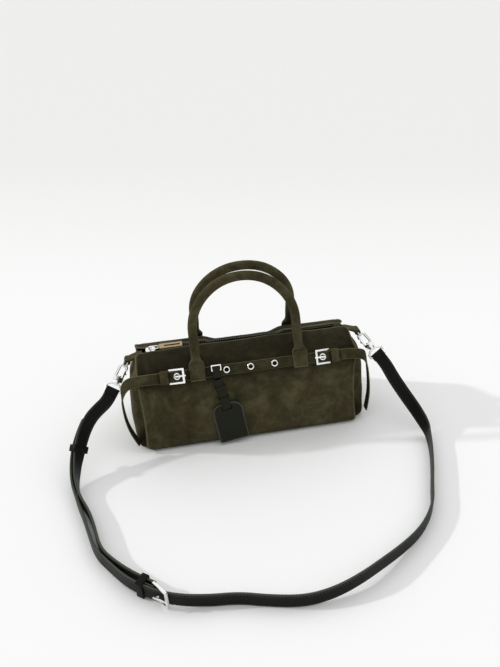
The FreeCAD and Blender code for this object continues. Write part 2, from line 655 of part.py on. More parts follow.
# Loose tails, left then right.  Each point has its place out of the panel's end, in from the belt and above
# the floor, all in shares of the body's height, and the direction of its width.
TAILS = {
    -1: (((0.100, -0.031, 0.850), (0, 0.5, 0.87)), ((0.181, -0.024, 0.812), (-0.2, 0.62, 0.75)),
         ((0.231, -0.005, 0.715), (-0.2, 0.85, 0.5)), ((0.246, 0.007, 0.569), (0, 1, 0.1)),
         ((0.238, -0.001, 0.385), (0, 1, 0)), ((0.200, -0.032, 0.215), (0, 1, 0)),
         ((0.127, -0.082, 0.088), (0, 1, 0))),
    1: (((0.054, -0.031, 0.842), (0, 0.5, 0.87)), ((0.119, -0.020, 0.808), (0.2, 0.62, 0.75)),
        ((0.154, -0.005, 0.715), (0.2, 0.85, 0.5)), ((0.177, 0.003, 0.569), (0, 1, 0.1)),
        ((0.196, -0.001, 0.385), (0, 1, 0)), ((0.192, -0.012, 0.231), (0, 1, 0)),
        ((0.161, -0.035, 0.085), (0, 1, 0))),
}
tail_places = {-1: [], 1: []}
for way, rows in TAILS.items():
    for (out, back, climb), width in rows:
        place = Vector(way * panel_end(belt_height), belt_origin.y, 0)
        place += Vector(way * out, back, climb) * size("body_height")
        tail_places[way].append((place, unit(Vector(*width))))
belt_points, belt_widths = [], []
for place, width in reversed(tail_places[-1]):
    belt_points.append(place)
    belt_widths.append(width)
crossing = ((-(size("keeper_place") + size("keeper_length")), belt_high), (2.5 - buckle_x, belt_high),
            (4.5 - bar_x, belt_middle), (bar_x - 4.5, belt_middle), (buckle_x - 2.5, belt_high),
            (size("keeper_place") + size("keeper_length"), belt_high))
for x, lift in crossing:
    belt_points.append(on_belt(x, lift))
    belt_widths.append(belt_up)
for place, width in tail_places[1]:
    belt_points.append(place)
    belt_widths.append(width)
belt, belt_radii, belt_length = ribbon(
    belt_points, belt_widths, size("belt_width"), size("belt_thickness"))

# Eyelets: pressed metal rings, three in the belt's middle and one under each buckle's prong.
eyelet_x = buckle_x - 0.5 * size("buckle_length")
slope_rise = (belt_high - belt_middle) / (buckle_x - 2.5 - bar_x + 4.5)
slope = math.atan(slope_rise)
eyelet_lift = belt_middle + slope_rise * (eyelet_x - bar_x + 4.5)
eyelet_rise = size("belt_thickness") / 2 + size("eyelet_flange")
eyelet_places = [on_belt(step * size("eyelet_spacing"), belt_middle) for step in (-1, 0, 1)]
eyelet_ways = [belt_normal] * 3
for way in (-1, 1):
    eyelet_places.append(on_belt(way * eyelet_x, eyelet_lift))
    eyelet_ways.append(belt_normal * math.cos(slope) - X * (way * math.sin(slope)))
eyelets = []
for place, way in zip(eyelet_places, eyelet_ways):
    sleeve = rod(place - way * eyelet_rise, place + way * eyelet_rise, size("eyelet_bore") / 2 + 0.8)
    for face in (-1, 1):
        flange = rod(place + way * (face * size("belt_thickness") / 2), place + way * (face * eyelet_rise),
                     size("eyelet_diameter") / 2)
        sleeve = sleeve.fuse(flange)
    hole = rod(place - way * 9, place + way * 9, size("eyelet_bore") / 2)
    belt = belt.cut(sleeve)
    eyelets.append(sleeve.cut(hole).removeSplitter())
feature("belt", belt)
feature("belt_eyelets", Part.makeCompound(eyelets))
report_strap("belt", belt, belt_radii, belt_length, size("belt_width") * size("belt_thickness"))


def buckle_frame(length, inside, wire, heel, bar):
    """A four-sided frame on its heel bar, in the plane of length and lift, tilted to its front bar."""
    radius = wire / 2
    half = inside / 2 + radius
    corner = 0.7 * wire
    tilt = math.atan2(bar - heel, length)
    reach = math.hypot(length, bar - heel)
    outer = block(Vector(-radius, -half - radius, -radius), Vector(reach + radius, half + radius, radius))
    upright = [edge for edge in outer.Edges if abs(edge.tangentAt(0).z) > 0.9]
    outer = outer.makeFillet(corner, upright)
    window = block(Vector(radius, radius - half, -wire), Vector(reach - radius, half - radius, wire))
    flat = outer.cut(window)
    heel_bar = rod(Vector(0, -half, 0), Vector(0, half, 0), radius)
    trimmed = flat.cut(block(Vector(-wire, radius - half, -wire), Vector(radius, half - radius, wire)))
    whole = trimmed.fuse(heel_bar).removeSplitter()
    whole.rotate(Vector(), Y, -math.degrees(tilt))
    whole.translate(Z * heel)
    return whole


def buckle_prong(length, wire, heel, bar, thick, wide, dip):
    """A prong that turns on the heel bar, passes up through the strap and rests on the front bar."""
    radius = wire / 2
    pivot = Vector(0, 0, heel)
    sweep = 0.5 * length
    rest = bar + 1.25 * radius + FIT + thick / 2
    low, high = math.radians(-dip), math.asin((rest - heel) / sweep)
    half = thick / 2

    def spoke(angle, distance):
        return pivot + Vector(math.cos(angle), 0, math.sin(angle)) * distance

    arm = extrude([spoke(low, radius + 0.5) + spoke(low + math.pi / 2, half) - pivot,
                   spoke(low, sweep) + spoke(low + math.pi / 2, half) - pivot,
                   spoke(low, sweep) - spoke(low + math.pi / 2, half) + pivot,
                   spoke(low, radius + 0.5) - spoke(low + math.pi / 2, half) + pivot], Y * wide)
    outer_arc = Part.Arc(spoke(low, sweep + half), spoke((low + high) / 2, sweep + half),
                         spoke(high, sweep + half))
    inner_arc = Part.Arc(spoke(low, sweep - half), spoke((low + high) / 2, sweep - half),
                         spoke(high, sweep - half))
    bend = Part.Wire([outer_arc.toShape(), line(outer_arc.EndPoint, inner_arc.EndPoint),
                      inner_arc.toShape(), line(inner_arc.StartPoint, outer_arc.StartPoint)])
    elbow = Part.Face(bend).extrude(Y * wide)
    start = spoke(high, sweep)
    tip_end = Vector(length + wire, 0, rest)
    tip = extrude([start + Vector(0, 0, -half), tip_end + Vector(0, 0, -half),
                   tip_end + Vector(0, 0, half / 3), start + Vector(-half / 2, 0, half)], Y * wide)
    ring = rod(pivot, pivot + Y * wide, radius + FIT + 1.0)
    prong = ring.fuse([arm, elbow, tip])
    prong = prong.cut(rod(pivot - Y, pivot + Y * (wide + 1), radius + FIT)).removeSplitter()
    prong.translate(Y * (-wide / 2))
    return prong


def anchor_strap(length, wide, thick, heel, wire):
    """A strap folded round a heel bar."""
    inner = wire / 2 + gap
    outer = inner + thick
    centre = Vector(0, 0, heel)
    fold = rod(centre, centre + Y * wide, outer).cut(rod(centre - Y, centre + Y * (wide + 1), inner))
    fold = fold.common(block(Vector(0, 0, heel - outer), Vector(outer, wide, heel + outer)))
    lower = block(Vector(-length, 0, heel - outer), Vector(0, wide, heel - inner))
    upper = block(Vector(-0.55 * length, 0, heel + inner), Vector(0, wide, heel + outer))
    strap = lower.fuse([upper, fold])
    strap.translate(Y * (-wide / 2))
    return strap.removeSplitter()


def prong_slot(heel, wire, thick, slot):
    """The room for a prong's foot, to cut out of the strap round a heel bar."""
    outer = wire / 2 + gap + thick
    return block(Vector(-outer - 1.5, -slot / 2, heel - outer), Vector(outer + 1, slot / 2, heel + outer + 1))


def keeper_arch(length, wide, high, wall):
    """A loop over a flat strap, with its two feet sewn down."""
    outer = block(Vector(-length / 2, -wide / 2 - wall, gap), Vector(length / 2, wide / 2 + wall, high + wall))
    return outer.cut(block(Vector(-length, -wide / 2, 0), Vector(length, wide / 2, high)))


def keeper_ring(length, wide, low, high, wall):
    """A loop round flat straps that lie between two heights."""
    outer = block(Vector(-length / 2, -wide / 2 - wall, low - wall),
                  Vector(length / 2, wide / 2 + wall, high + wall))
    return outer.cut(block(Vector(-length, -wide / 2, low), Vector(length, wide / 2, high)))


# Belt buckles: frame, prong, anchor strap and keeper on each side, all on one lifted plane.
bar_lift = belt_middle + slope_rise * 4.5 + size("belt_thickness") / 2 + 2 * gap + bar_radius
prong_thick = 1.5
prong_wide = 2.2
for hand, way in (("left", 1), ("right", -1)):
    heel_place = belt_origin - X * (way * buckle_x)
    local = axes(heel_place, X * way, belt_up * way)
    feature(f"{hand}_buckle_frame", buckle_frame(
        size("buckle_length"), size("buckle_width"), size("buckle_wire"), heel_lift, bar_lift), local)
    feature(f"{hand}_buckle_prong", buckle_prong(
        size("buckle_length"), size("buckle_wire"), heel_lift, bar_lift, prong_thick, prong_wide, 6), local)
    hinges[f"{hand}_prong"] = (heel_place + belt_normal * heel_lift, belt_up * -way)
    anchor_length = panel_end(belt_height) - buckle_x - 1
    anchor = anchor_strap(anchor_length, size("belt_width"), ply, heel_lift, size("buckle_wire"))
    anchor = anchor.cut(prong_slot(heel_lift, size("buckle_wire"), ply, prong_wide + 1.4))
    feature(f"{hand}_buckle_anchor", anchor, local)
    keeper_local = axes(belt_origin - X * (way * size("keeper_place")), X * way, belt_up * way)
    keeper_high = belt_high + size("belt_thickness") / 2 + gap
    keeper = keeper_arch(size("keeper_length"), size("belt_width") + 2 * gap, keeper_high,
                         size("keeper_wall"))
    feature(f"{hand}_belt_keeper", keeper, keeper_local)

# Tag: a leather label on a doubled hanger strap that loops round the belt.
tag_x = -size("tag_place")
loop_low = (size("belt_lift") - size("hanger_ply")) / 2
loop_high = size("belt_lift") + size("belt_thickness") + gap
loop_half = size("belt_width") / 2 + gap
outer_loop = block(Vector(-size("hanger_width") / 2, -loop_half - size("hanger_ply"), loop_low),
                   Vector(size("hanger_width") / 2, loop_half + size("hanger_ply"),
                          loop_high + size("hanger_ply")))
inner_loop = block(Vector(-size("hanger_width"), -loop_half, loop_low + size("hanger_ply")),
                   Vector(size("hanger_width"), loop_half, loop_high))
belt_frame = axes(belt_origin + X * tag_x, X, belt_up)
feature("tag_loop", outer_loop.cut(inner_loop), belt_frame)

buckle_half = size("hanger_width") / 2 + 1.6
tag_buckle = block(Vector(-buckle_half, -3.5, 0), Vector(buckle_half, 3.5, 1.2)).cut(
    block(Vector(-buckle_half + 1.5, -2.1, -1), Vector(buckle_half - 1.5, 2.1, 3)))
tag_buckle = tag_buckle.fuse(block(Vector(-0.7, -3.5, 0), Vector(0.7, 4.2, 1.2))).removeSplitter()
feature("tag_buckle", tag_buckle, belt_frame * Placement(
    Vector(0, 0, loop_high + size("hanger_ply") + gap), Rotation()))

lean_up = Vector(0, -lean.y, lean.z)
lean_out = Vector(0, -lean.z, -lean.y)
hanger_corner = size("hanger_width") / 2 * math.sin(math.radians(size("hanger_tilt")))
loop_foot = belt_origin + belt_up * (-loop_half - size("hanger_ply") - gap - hanger_corner) + X * tag_x
hanger_keeper_wall = 1
tag_low = gap + size("hanger_ply")
tag_high = tag_low + size("tag_thickness")
front_low = tag_high + gap
hinge_lift = front_low + size("hanger_ply")
foot_distance = (loop_foot - Vector(0, -foot_point.y, 0)).dot(lean_out)
hang_origin = loop_foot + lean_out * (2 * gap + hanger_keeper_wall - foot_distance)
hanger_way = unit(lean_up * -math.cos(math.radians(size("hanger_tilt"))) +
                  X * math.sin(math.radians(size("hanger_tilt"))))
hanger_frame = axes(hang_origin, unit(hanger_way.cross(lean_out)) * -1, hanger_way * -1)
ply_low = size("hanger_ply")
hanger_outer = block(Vector(-size("hanger_width") / 2, -size("hanger_length"), 0),
                     Vector(size("hanger_width") / 2, 0, hinge_lift))
hanger_inner = block(Vector(-size("hanger_width"), ply_low - size("hanger_length"), ply_low),
                     Vector(size("hanger_width"), 9, front_low))
feature("tag_hanger", hanger_outer.cut(hanger_inner), hanger_frame)
hinges["tag_lift"] = (hanger_frame.multVec(Vector(0, 0, hinge_lift)), X * -1)
hanger_keepers = []
for share in (0.28, 0.66):
    ring = keeper_ring(5, size("hanger_width") + 2 * gap, -gap, hinge_lift + gap, hanger_keeper_wall)
    ring.rotate(Vector(), Z, 90)
    ring.translate(Y * (-share * size("hanger_length")))
    hanger_keepers.append(ring)
feature("tag_keepers", Part.makeCompound(hanger_keepers), hanger_frame)

tag_body = document.addObject("PartDesign::Body", "tag_plate")
tag_sketch = sketch_outline(tag_body, "tag_outline", "XY_Plane", (
    ("-1 * tag_width / 2", "tag_slot_drop - tag_length"), ("tag_width / 2", "tag_slot_drop - tag_length"),
    ("tag_width / 2", "tag_slot_drop + tag_slot_height / 2 - tag_corner"),
    ("tag_width / 2 - tag_corner", "tag_slot_drop + tag_slot_height / 2"),
    ("tag_corner - tag_width / 2", "tag_slot_drop + tag_slot_height / 2"),
    ("-1 * tag_width / 2", "tag_slot_drop + tag_slot_height / 2 - tag_corner")))
pad(tag_body, tag_sketch, "tag_thickness")
tag_slot = sketch_outline(tag_body, "tag_slot", "XY_Plane", (
    ("-1 * tag_slot_width / 2", "-1 * tag_slot_height / 2"), ("tag_slot_width / 2", "-1 * tag_slot_height / 2"),
    ("tag_slot_width / 2", "tag_slot_height / 2"), ("-1 * tag_slot_width / 2", "tag_slot_height / 2")))
tag_cut = tag_body.newObject("PartDesign::Pocket", "tag_slot_cut")
tag_cut.Profile = tag_slot
tag_cut.Type = "ThroughAll"
tag_cut.Midplane = True
tag_way = unit(lean_up * math.cos(math.radians(size("tag_tilt"))) -
               X * math.sin(math.radians(size("tag_tilt"))))
tag_place = hanger_frame.multVec(Vector(0, ply_low / 2 - size("hanger_length"), (tag_low + tag_high) / 2))
hinges["tag_swing"] = (tag_place, lean_out)
keep(tag_body, "tag", axes(tag_place, unit(tag_way.cross(lean_out)), tag_way))


# Ends: a suede tab on each gusset holds a D-ring, and a snap hook on it carries the shoulder strap.
def ring_solid():
    """A D-ring on its bar along Y, with its round end towards +X."""
    half = size("ring_width") / 2
    radius = size("ring_wire") / 2
    straight = size("ring_straight")
    low, high = Vector(0, -half, 0), Vector(0, half, 0)
    bow = Part.Arc(Vector(straight, -half, 0), Vector(straight + half, 0, 0), Vector(straight, half, 0))
    side = wire_tube([line(low, Vector(straight, -half, 0)), bow.toShape(), line(bow.EndPoint, high)], radius)
    corners = [Part.makeSphere(radius, low), Part.makeSphere(radius, high)]
    return rod(low, high, radius).fuse([side] + corners).removeSplitter()


def ring_tab_solid(way):
    """A tab rolled round a ring's bar, whose tongue lies over the gusset's top edge."""
    half = size("ring_tab_width") / 2
    bar = Vector(way * size("ring_place"), 0, ring_height)
    hole = size("ring_wire") / 2 + gap
    outer = hole + size("ring_tab_thickness")
    roll = rod(bar - Y * half, bar + Y * half, outer)
    seat = gusset_height + gap
    inner_x = way * (panel_end(size("body_height")) - 1)
    bend_x = way * (panel_end(gusset_height) + 0.2 * size("gusset_bulge"))
    thick = size("ring_tab_thickness")
    top = bar + Vector(-way * outer * 0.5, 0, outer * 0.6)
    tongue = extrude([Vector(inner_x, -half, seat), Vector(inner_x, -half, seat + thick),
                      Vector(bend_x, -half, seat + thick), Vector(top.x + way * 2, -half, top.z + 1),
                      Vector(top.x, -half, top.z - 3), Vector(bend_x, -half, seat)], Y * (2 * half))
    return roll.fuse(tongue).cut(rod(bar - Y * 30, bar + Y * 30, hole)).removeSplitter()


def hook_solid():
    """A snap hook along +X from the crown of its eye, open on its +Y side, with a block for the gate."""
    radius = size("hook_wire") / 2
    half = size("hook_width") / 2
    end = size("hook_length")
    bow = Part.Arc(Vector(half, half, 0), Vector(0, 0, 0), Vector(half, -half, 0))
    eye_bend = wire_tube([bow.toShape(), line(Vector(half, -half, 0), Vector(end, -half, 0))], radius)
    nose = Part.makeSphere(radius, Vector(half, half, 0))
    base = block(Vector(end - 1, -half - radius, -radius), Vector(end + 6, half + radius, radius))
    fork = block(Vector(end - 2, half - 2.2, -gate_half - gap / 2),
                 Vector(end + 3.4, half + radius + 1, gate_half + gap / 2))
    collar = rod(Vector(end + 5, 0, 0), Vector(end + 8, 0, 0), half - 0.6)
    well = rod(Vector(end - 3, 0, 0), Vector(end + 9, 0, 0), size("swivel_wire") / 2 + FIT)
    pin = rod(Vector(gate_pivot, half, -radius), Vector(gate_pivot, half, radius), gate_pin)
    return eye_bend.fuse([nose, base, collar]).cut(fork).cut(well).fuse(pin).removeSplitter()


def gate_solid():
    """A flat sprung lever from its pin up to the hook's nose, with a thumb nub on its outside."""
    half = size("hook_width") / 2
    radius = size("hook_wire") / 2
    top = half + radius + gap
    lever = block(Vector(top, half - 1.3, -gate_half), Vector(gate_pivot, half + 1.3, gate_half))
    foot = rod(Vector(gate_pivot, half, -gate_half), Vector(gate_pivot, half, gate_half), 1.9)
    nub = rod(Vector(top + 4, half + 1.3, -gate_half), Vector(top + 4, half + 1.3, gate_half), 1.5)
    hole = rod(Vector(gate_pivot, half, -9), Vector(gate_pivot, half, 9), gate_pin + FIT)
    return lever.fuse([foot, nub]).cut(hole).removeSplitter()


def swivel_solid():
    """A swivel post with its head inside the hook and a four-sided loop for the strap."""
    end = size("hook_length")
    post_radius = size("swivel_wire") / 2
    wire_radius = size("loop_wire") / 2
    half = size("strap_width") / 2 + gap + wire_radius
    neck_half = 0.5 * half
    straight = wire_radius + size("strap_thickness") / 2 + 2 * gap + wire_radius
    shoulder = end + 8 + gap + wire_radius
    bar = shoulder + size("loop_length")
    head = rod(Vector(end - 1 - gap - 1.4, 0, 0), Vector(end - 1 - gap, 0, 0), post_radius + 0.9)
    post = rod(Vector(end - 1 - gap, 0, 0), Vector(shoulder, 0, 0), post_radius)
    knots = [Vector(shoulder, -neck_half, 0), Vector(shoulder, neck_half, 0), Vector(bar - straight, half, 0),
             Vector(bar, half, 0), Vector(bar, -half, 0), Vector(bar - straight, -half, 0)]
    shape = head.fuse(post)
    for first, second in zip(knots, knots[1:] + knots[:1]):
        shape = shape.fuse([rod(first, second, wire_radius), Part.makeSphere(wire_radius, first)])
    return shape.removeSplitter(), bar


def strap_fold(bar):
    """The strap's end folded round the loop's bar and sewn to itself."""
    inner = size("loop_wire") / 2 + gap
    ply_thick = size("strap_thickness") / 2
    outer = inner + ply_thick
    half = size("strap_width") / 2
    centre = Vector(bar, 0, 0)
    fold = rod(centre - Y * half, centre + Y * half, outer).cut(
        rod(centre - Y * (half + 1), centre + Y * (half + 1), inner))
    fold = fold.cut(block(Vector(bar, -half - 1, -outer - 1), Vector(bar + 9, half + 1, outer + 1)))
    run = 2.2 * outer
    plies = [block(Vector(bar, -half, inner), Vector(bar + run, half, outer)),
             block(Vector(bar, -half, -outer), Vector(bar + run, half, -inner))]
    return fold.fuse(plies).removeSplitter(), bar + run


gate_half = 1.1
gate_pin = 0.8
gate_pivot = size("hook_length") + 1.2
ring_reach = size("ring_straight") + size("ring_width") / 2
strap_starts = {}
for hand, way in (("left", -1), ("right", 1)):
    bar = Vector(way * size("ring_place"), 0, ring_height)
    swing = math.radians(size("ring_tilt"))
    turn = math.radians(size("hook_tilt"))
    ring_way = Vector(way * math.sin(swing), 0, -math.cos(swing))
    feature(f"{hand}_ring_tab", ring_tab_solid(way))
    feature(f"{hand}_d_ring", ring_solid(), axes(bar, ring_way, Y))
    hook_way = ring_way * math.cos(turn) - Y * math.sin(turn)
    rod_way = ring_way * math.sin(turn) + Y * math.cos(turn)
    contact = bar + ring_way * size("ring_straight") + hook_way * (size("ring_width") / 2)
    crown = contact - hook_way * (size("ring_wire") / 2 + size("hook_wire") / 2 + gap)
    hook_side = unit(rod_way.cross(hook_way)) * way
    hook_place = axes(crown, hook_way, hook_side)
    hinges[f"{hand}_clip_swing"] = (bar, Y * -way)
    hinges[f"{hand}_hook_turn"] = (crown, hook_way)
    hinges[f"{hand}_hook_gate"] = (hook_place.multVec(Vector(gate_pivot, size("hook_width") / 2, 0)),
                                   hook_way.cross(hook_side))
    feature(f"{hand}_hook", hook_solid(), hook_place)
    feature(f"{hand}_hook_gate", gate_solid(), hook_place)
    facing = unit(Vector(0, -0.86, 0.5) - hook_way * hook_way.dot(Vector(0, -0.86, 0.5)))
    loop_side = unit(facing.cross(hook_way)) * way
    swivel, bar_place = swivel_solid()
    loop_frame = axes(crown, hook_way, loop_side)
    feature(f"{hand}_swivel", swivel, loop_frame)
    folded, fold_end = strap_fold(bar_place)
    feature(f"{hand}_strap_fold", folded, loop_frame)
    strap_starts[way] = (loop_frame.multVec(Vector(fold_end + 2.5 * gap, 0, 0)), loop_side)

# Shoulder strap: a short and a long leather strap, joined by a prong buckle in front of the bag.
strap_wide = size("strap_width")
strap_thick = size("strap_thickness")
edge_lift = strap_wide / 2 + 0.2
frame_inside = strap_wide + 4 * gap
buckle_rest = frame_inside / 2 + size("strap_buckle_wire") + 0.1
SHORT_ROUTE = ((-197.6, -34.5, 76), (-209, -40, 70), (-222, -47, 61), (-233.4, -64, 47.5), (-242.6, -89, 25),
               (-245, -116, 10.2), (-238, -143, 0), (-225.5, -170, 0), (-217.5, -199, 0), (-211, -229, 0),
               (-197.5, -249, 0))
LONG_ROUTE = ((197.6, -34.5, 76), (202.5, -53, 64), (212, -71.5, 48), (224.5, -93, 29), (231.5, -112, 14.5),
              (229.5, -128, 0), (221, -154, 0), (207, -188, 0), (193, -218, 0), (182.5, -243, 0),
              (167, -264, 0), (147, -283, 0),
              (119, -301, 11), (89, -317.5, 14), (61, -331, 15), (32, -338.5, 11.5), (0, -340.5, 0),
              (-36, -332.5, 0), (-66, -322.5, 0), (-98, -319, 0))
TAIL_ROUTE = ((-201.6, -252.2, 0), (-216.6, -231.2, 0), (-225.3, -200.9, 0), (-233, -172.8, 0), (-242.2, -144.5, 0),
              (-249.2, -116.1, 9.5), (-246.4, -87.4, 23.9), (-235.8, -61.2, 45.6), (-223.3, -42.7, 59.3))
heel_place = Vector(-150.5, -294, buckle_rest)
strap_way = unit(Vector(0.80, -0.60, 0))
strap_out = strap_way.cross(Z)


def route_points(route):
    """Chosen points, with the floor's ones standing on the strap's edge."""
    return [Vector(x, y, max(z, edge_lift)) for x, y, z in route]


def on_buckle(along, lift):
    """A point beside the strap buckle's heel bar."""
    return heel_place + strap_way * along + strap_out * lift


def turned_widths(side, shares):
    """Width directions that turn from a hook's loop to upright."""
    return [unit(side * share + Z * (1 - share)) for share in shares]


strap_bar = size("strap_buckle_wire")
strap_ply = strap_thick / 2
strap_heel = strap_thick / 2 + gap + strap_bar / 2
over_heel = strap_heel + strap_bar / 2 + gap + strap_ply + 2 * gap + strap_thick / 2
strap_fall = 0.2
under_bar = over_heel - strap_fall * (size("strap_buckle_length") + 11 - 3)
strap_prong_thick, strap_prong_wide = 1.8, 2.8
buckle_frame_place = axes(heel_place, strap_way, Z)

start, start_side = strap_starts[-1]
short_points = [start] + route_points(SHORT_ROUTE) + [on_buckle(-28, 0), on_buckle(0, 0)]
short_widths = turned_widths(start_side, (1, 1, 0.85, 0.7, 0.5, 0.25, 0.08) + 7 * (0,))
short, short_radii, short_length = ribbon(short_points, short_widths, strap_wide, strap_thick)
turn_back = anchor_strap(17, strap_wide, strap_ply, strap_heel, strap_bar)
turn_back.Placement = buckle_frame_place
slot = prong_slot(strap_heel, strap_bar, strap_ply, strap_prong_wide + 1.4)
slot.Placement = buckle_frame_place
report_strap("short strap", short, short_radii, short_length, strap_wide * strap_thick)
feature("short_strap", short.fuse(turn_back).cut(slot).removeSplitter())

start, long_side = strap_starts[1]
long_points = [start] + route_points(LONG_ROUTE)
long_points += [on_buckle(size("strap_buckle_length") + 11, under_bar), on_buckle(3, over_heel),
                on_buckle(-30, over_heel)]
long_points += route_points(TAIL_ROUTE)
long_widths = turned_widths(long_side, (1, 1, 0.85, 0.65, 0.4, 0.2, 0.08) + 14 * (0,))
long_widths += turned_widths(start_side, 8 * (0,) + (0.08, 0.25, 0.5, 0.7))
long_strap, long_radii, long_length = ribbon(long_points, long_widths, strap_wide, strap_thick)
report_strap("long strap", long_strap, long_radii, long_length, strap_wide * strap_thick)
prong_reach = 0.45 * size("strap_buckle_length")
prong_hole = rod(Vector(prong_reach, 0, -20), Vector(prong_reach, 0, 20), strap_prong_wide / 2 + 1.1)
prong_hole.Placement = buckle_frame_place
feature("long_strap", long_strap.cut(prong_hole))

strap_bar_lift = under_bar + strap_fall * 11 + strap_thick / 2 + gap + strap_bar / 2 + 0.5
feature("strap_buckle_frame", buckle_frame(
    size("strap_buckle_length"), frame_inside, strap_bar, strap_heel, strap_bar_lift), buckle_frame_place)
feature("strap_buckle_prong", buckle_prong(
    size("strap_buckle_length"), strap_bar, strap_heel, strap_bar_lift, strap_prong_thick, strap_prong_wide, 6),
    buckle_frame_place)

hinges["strap_prong"] = (on_buckle(0, strap_heel), Z * -1)

# Strap keepers: a leather loop beside the buckle and one where the loose end runs along the strap.
keeper_span = strap_wide + 2 * gap
keepers = []
for along in (-14,):
    ring = keeper_ring(size("strap_keeper_length"), keeper_span, -strap_thick / 2 - gap,
                       over_heel + strap_thick / 2 + gap, size("strap_keeper_wall"))
    ring.Placement = axes(on_buckle(along, 0), strap_way, Z)
    keepers.append(ring)
first, second = route_points(SHORT_ROUTE)[3:5]
loose_end, loose_start = route_points(TAIL_ROUTE)[7], route_points(TAIL_ROUTE)[6]
third_place = (first + second) * 0.5
third_way = unit(second - first)
third_side = unit(short_widths[4] * 0.5 + short_widths[5] * 0.5)
third_side = unit(third_side - third_way * third_side.dot(third_way))
share = (third_place - loose_end).dot(third_way) / (loose_start - loose_end).dot(third_way)
loose_place = loose_end + (loose_start - loose_end) * share
loose_lift = (loose_place - third_place).dot(third_way.cross(third_side))
low, high = sorted((0, loose_lift))
ring = keeper_ring(size("strap_keeper_length"), keeper_span + 1, low - strap_thick / 2 - 2 * gap,
                   high + strap_thick / 2 + 2 * gap, size("strap_keeper_wall"))
ring.Placement = axes(third_place, third_way, third_side)
keepers.append(ring)
feature("strap_keepers", Part.makeCompound(keepers))

# Check every object, then write one file for each sub-part.
document.recompute()
for item in document.Objects:
    if "Invalid" in item.State or "Error" in item.State:
        raise RuntimeError(f"{item.Label} did not build: {item.State}")
os.makedirs("parts", exist_ok=True)
for piece in pieces:
    if piece.Shape.isNull() or not piece.Shape.isValid() or piece.Shape.Volume < 1:
        raise RuntimeError(f"{piece.Label} is not a sound solid")
    piece.Shape.exportStep(f"parts/{piece.Label}.step")
for name, (place, way) in hinges.items():
    print(f"{name}: at {place.x:.3f} {place.y:.3f} {place.z:.3f}, axis {way.x:.5f} {way.y:.5f} {way.z:.5f}")
print(f"{len(pieces)} sub-parts written")
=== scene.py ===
"""Looks for a suede barrel bag with rolled handles, a buckled belt, a tag and a shoulder strap."""
import math

import bmesh
import bpy
from mathutils import Matrix, Vector, kdtree, noise


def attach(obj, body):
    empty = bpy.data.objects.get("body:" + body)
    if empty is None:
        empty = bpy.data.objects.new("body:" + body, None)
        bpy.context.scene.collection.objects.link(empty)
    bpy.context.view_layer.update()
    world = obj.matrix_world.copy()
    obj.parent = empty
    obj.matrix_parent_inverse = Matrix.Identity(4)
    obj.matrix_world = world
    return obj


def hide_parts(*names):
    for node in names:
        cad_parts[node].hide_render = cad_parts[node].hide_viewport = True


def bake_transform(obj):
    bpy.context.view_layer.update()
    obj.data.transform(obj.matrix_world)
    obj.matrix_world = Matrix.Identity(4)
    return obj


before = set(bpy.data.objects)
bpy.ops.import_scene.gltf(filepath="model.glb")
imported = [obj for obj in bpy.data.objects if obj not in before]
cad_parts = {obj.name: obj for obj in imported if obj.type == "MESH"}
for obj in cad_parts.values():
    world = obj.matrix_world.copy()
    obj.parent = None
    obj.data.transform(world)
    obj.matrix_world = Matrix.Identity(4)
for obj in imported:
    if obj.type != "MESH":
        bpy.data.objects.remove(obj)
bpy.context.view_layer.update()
scene = bpy.context.scene
scene.view_settings.view_transform = "Standard"
MM = 0.001


# Studio: a pale floor and backdrop in one sheet, a wide soft sky and one harder lamp low on the left.
# The camera stands in front of the bag, a little to its left, and looks down on it.
def hex_colour(text):
    """A linear colour from an sRGB hex value."""
    shares = [int(text[i:i + 2], 16) / 255 for i in (1, 3, 5)]
    return tuple(s / 12.92 if s <= 0.04045 else ((s + 0.055) / 1.055) ** 2.4 for s in shares) + (1.0,)


def add_node(tree, kind, settings=None, links=None):
    """One shader node with its settings and its incoming links."""
    node = tree.nodes.new(kind)
    for key, value in (settings or {}).items():
        if isinstance(key, str) and hasattr(node, key):
            setattr(node, key, value)
        else:
            node.inputs[key].default_value = value
    for key, socket in (links or {}).items():
        tree.links.new(socket, node.inputs[key])
    return node


def new_material(name, constants):
    """A material whose principled shader has these constants, with that shader and object coordinates."""
    material = bpy.data.materials.new(name)
    material.use_nodes = True
    tree = material.node_tree
    shader = tree.nodes["Principled BSDF"]
    for socket, value in constants.items():
        shader.inputs[socket].default_value = value
    return material, shader, add_node(tree, "ShaderNodeTexCoord").outputs["Object"]


def feed(node, key, socket):
    """Link a socket to one of a node's inputs."""
    node.id_data.links.new(socket, node.inputs[key])


def calculate(operation, first, *others):
    """The result of one operation on a socket and other sockets or numbers."""
    node = add_node(first.id_data, "ShaderNodeMath", {"operation": operation}, {0: first})
    for index, term in enumerate(others, 1):
        if isinstance(term, (int, float)):
            node.inputs[index].default_value = term
        else:
            feed(node, index, term)
    return node.outputs[0]


def remap(value, low, high, first=0, last=1, curve="LINEAR"):
    """A value between low and high turned into one between first and last."""
    settings = {"interpolation_type": curve, "From Min": low, "From Max": high, "To Min": first, "To Max": last}
    return add_node(value.id_data, "ShaderNodeMapRange", settings, {"Value": value}).outputs[0]


def mix_colours(share, first, second):
    """A mix of two colours, each a hex value or a socket, by a share."""
    mix = add_node(share.id_data, "ShaderNodeMix", {"data_type": "RGBA"}, {"Factor": share})
    for key, colour in (("A", first), ("B", second)):
        if isinstance(colour, str):
            mix.inputs[key].default_value = hex_colour(colour)
        else:
            feed(mix, key, colour)
    return mix.outputs["Result"]


def split(place):
    """The three coordinates of a place."""
    return add_node(place.id_data, "ShaderNodeSeparateXYZ", None, {0: place}).outputs


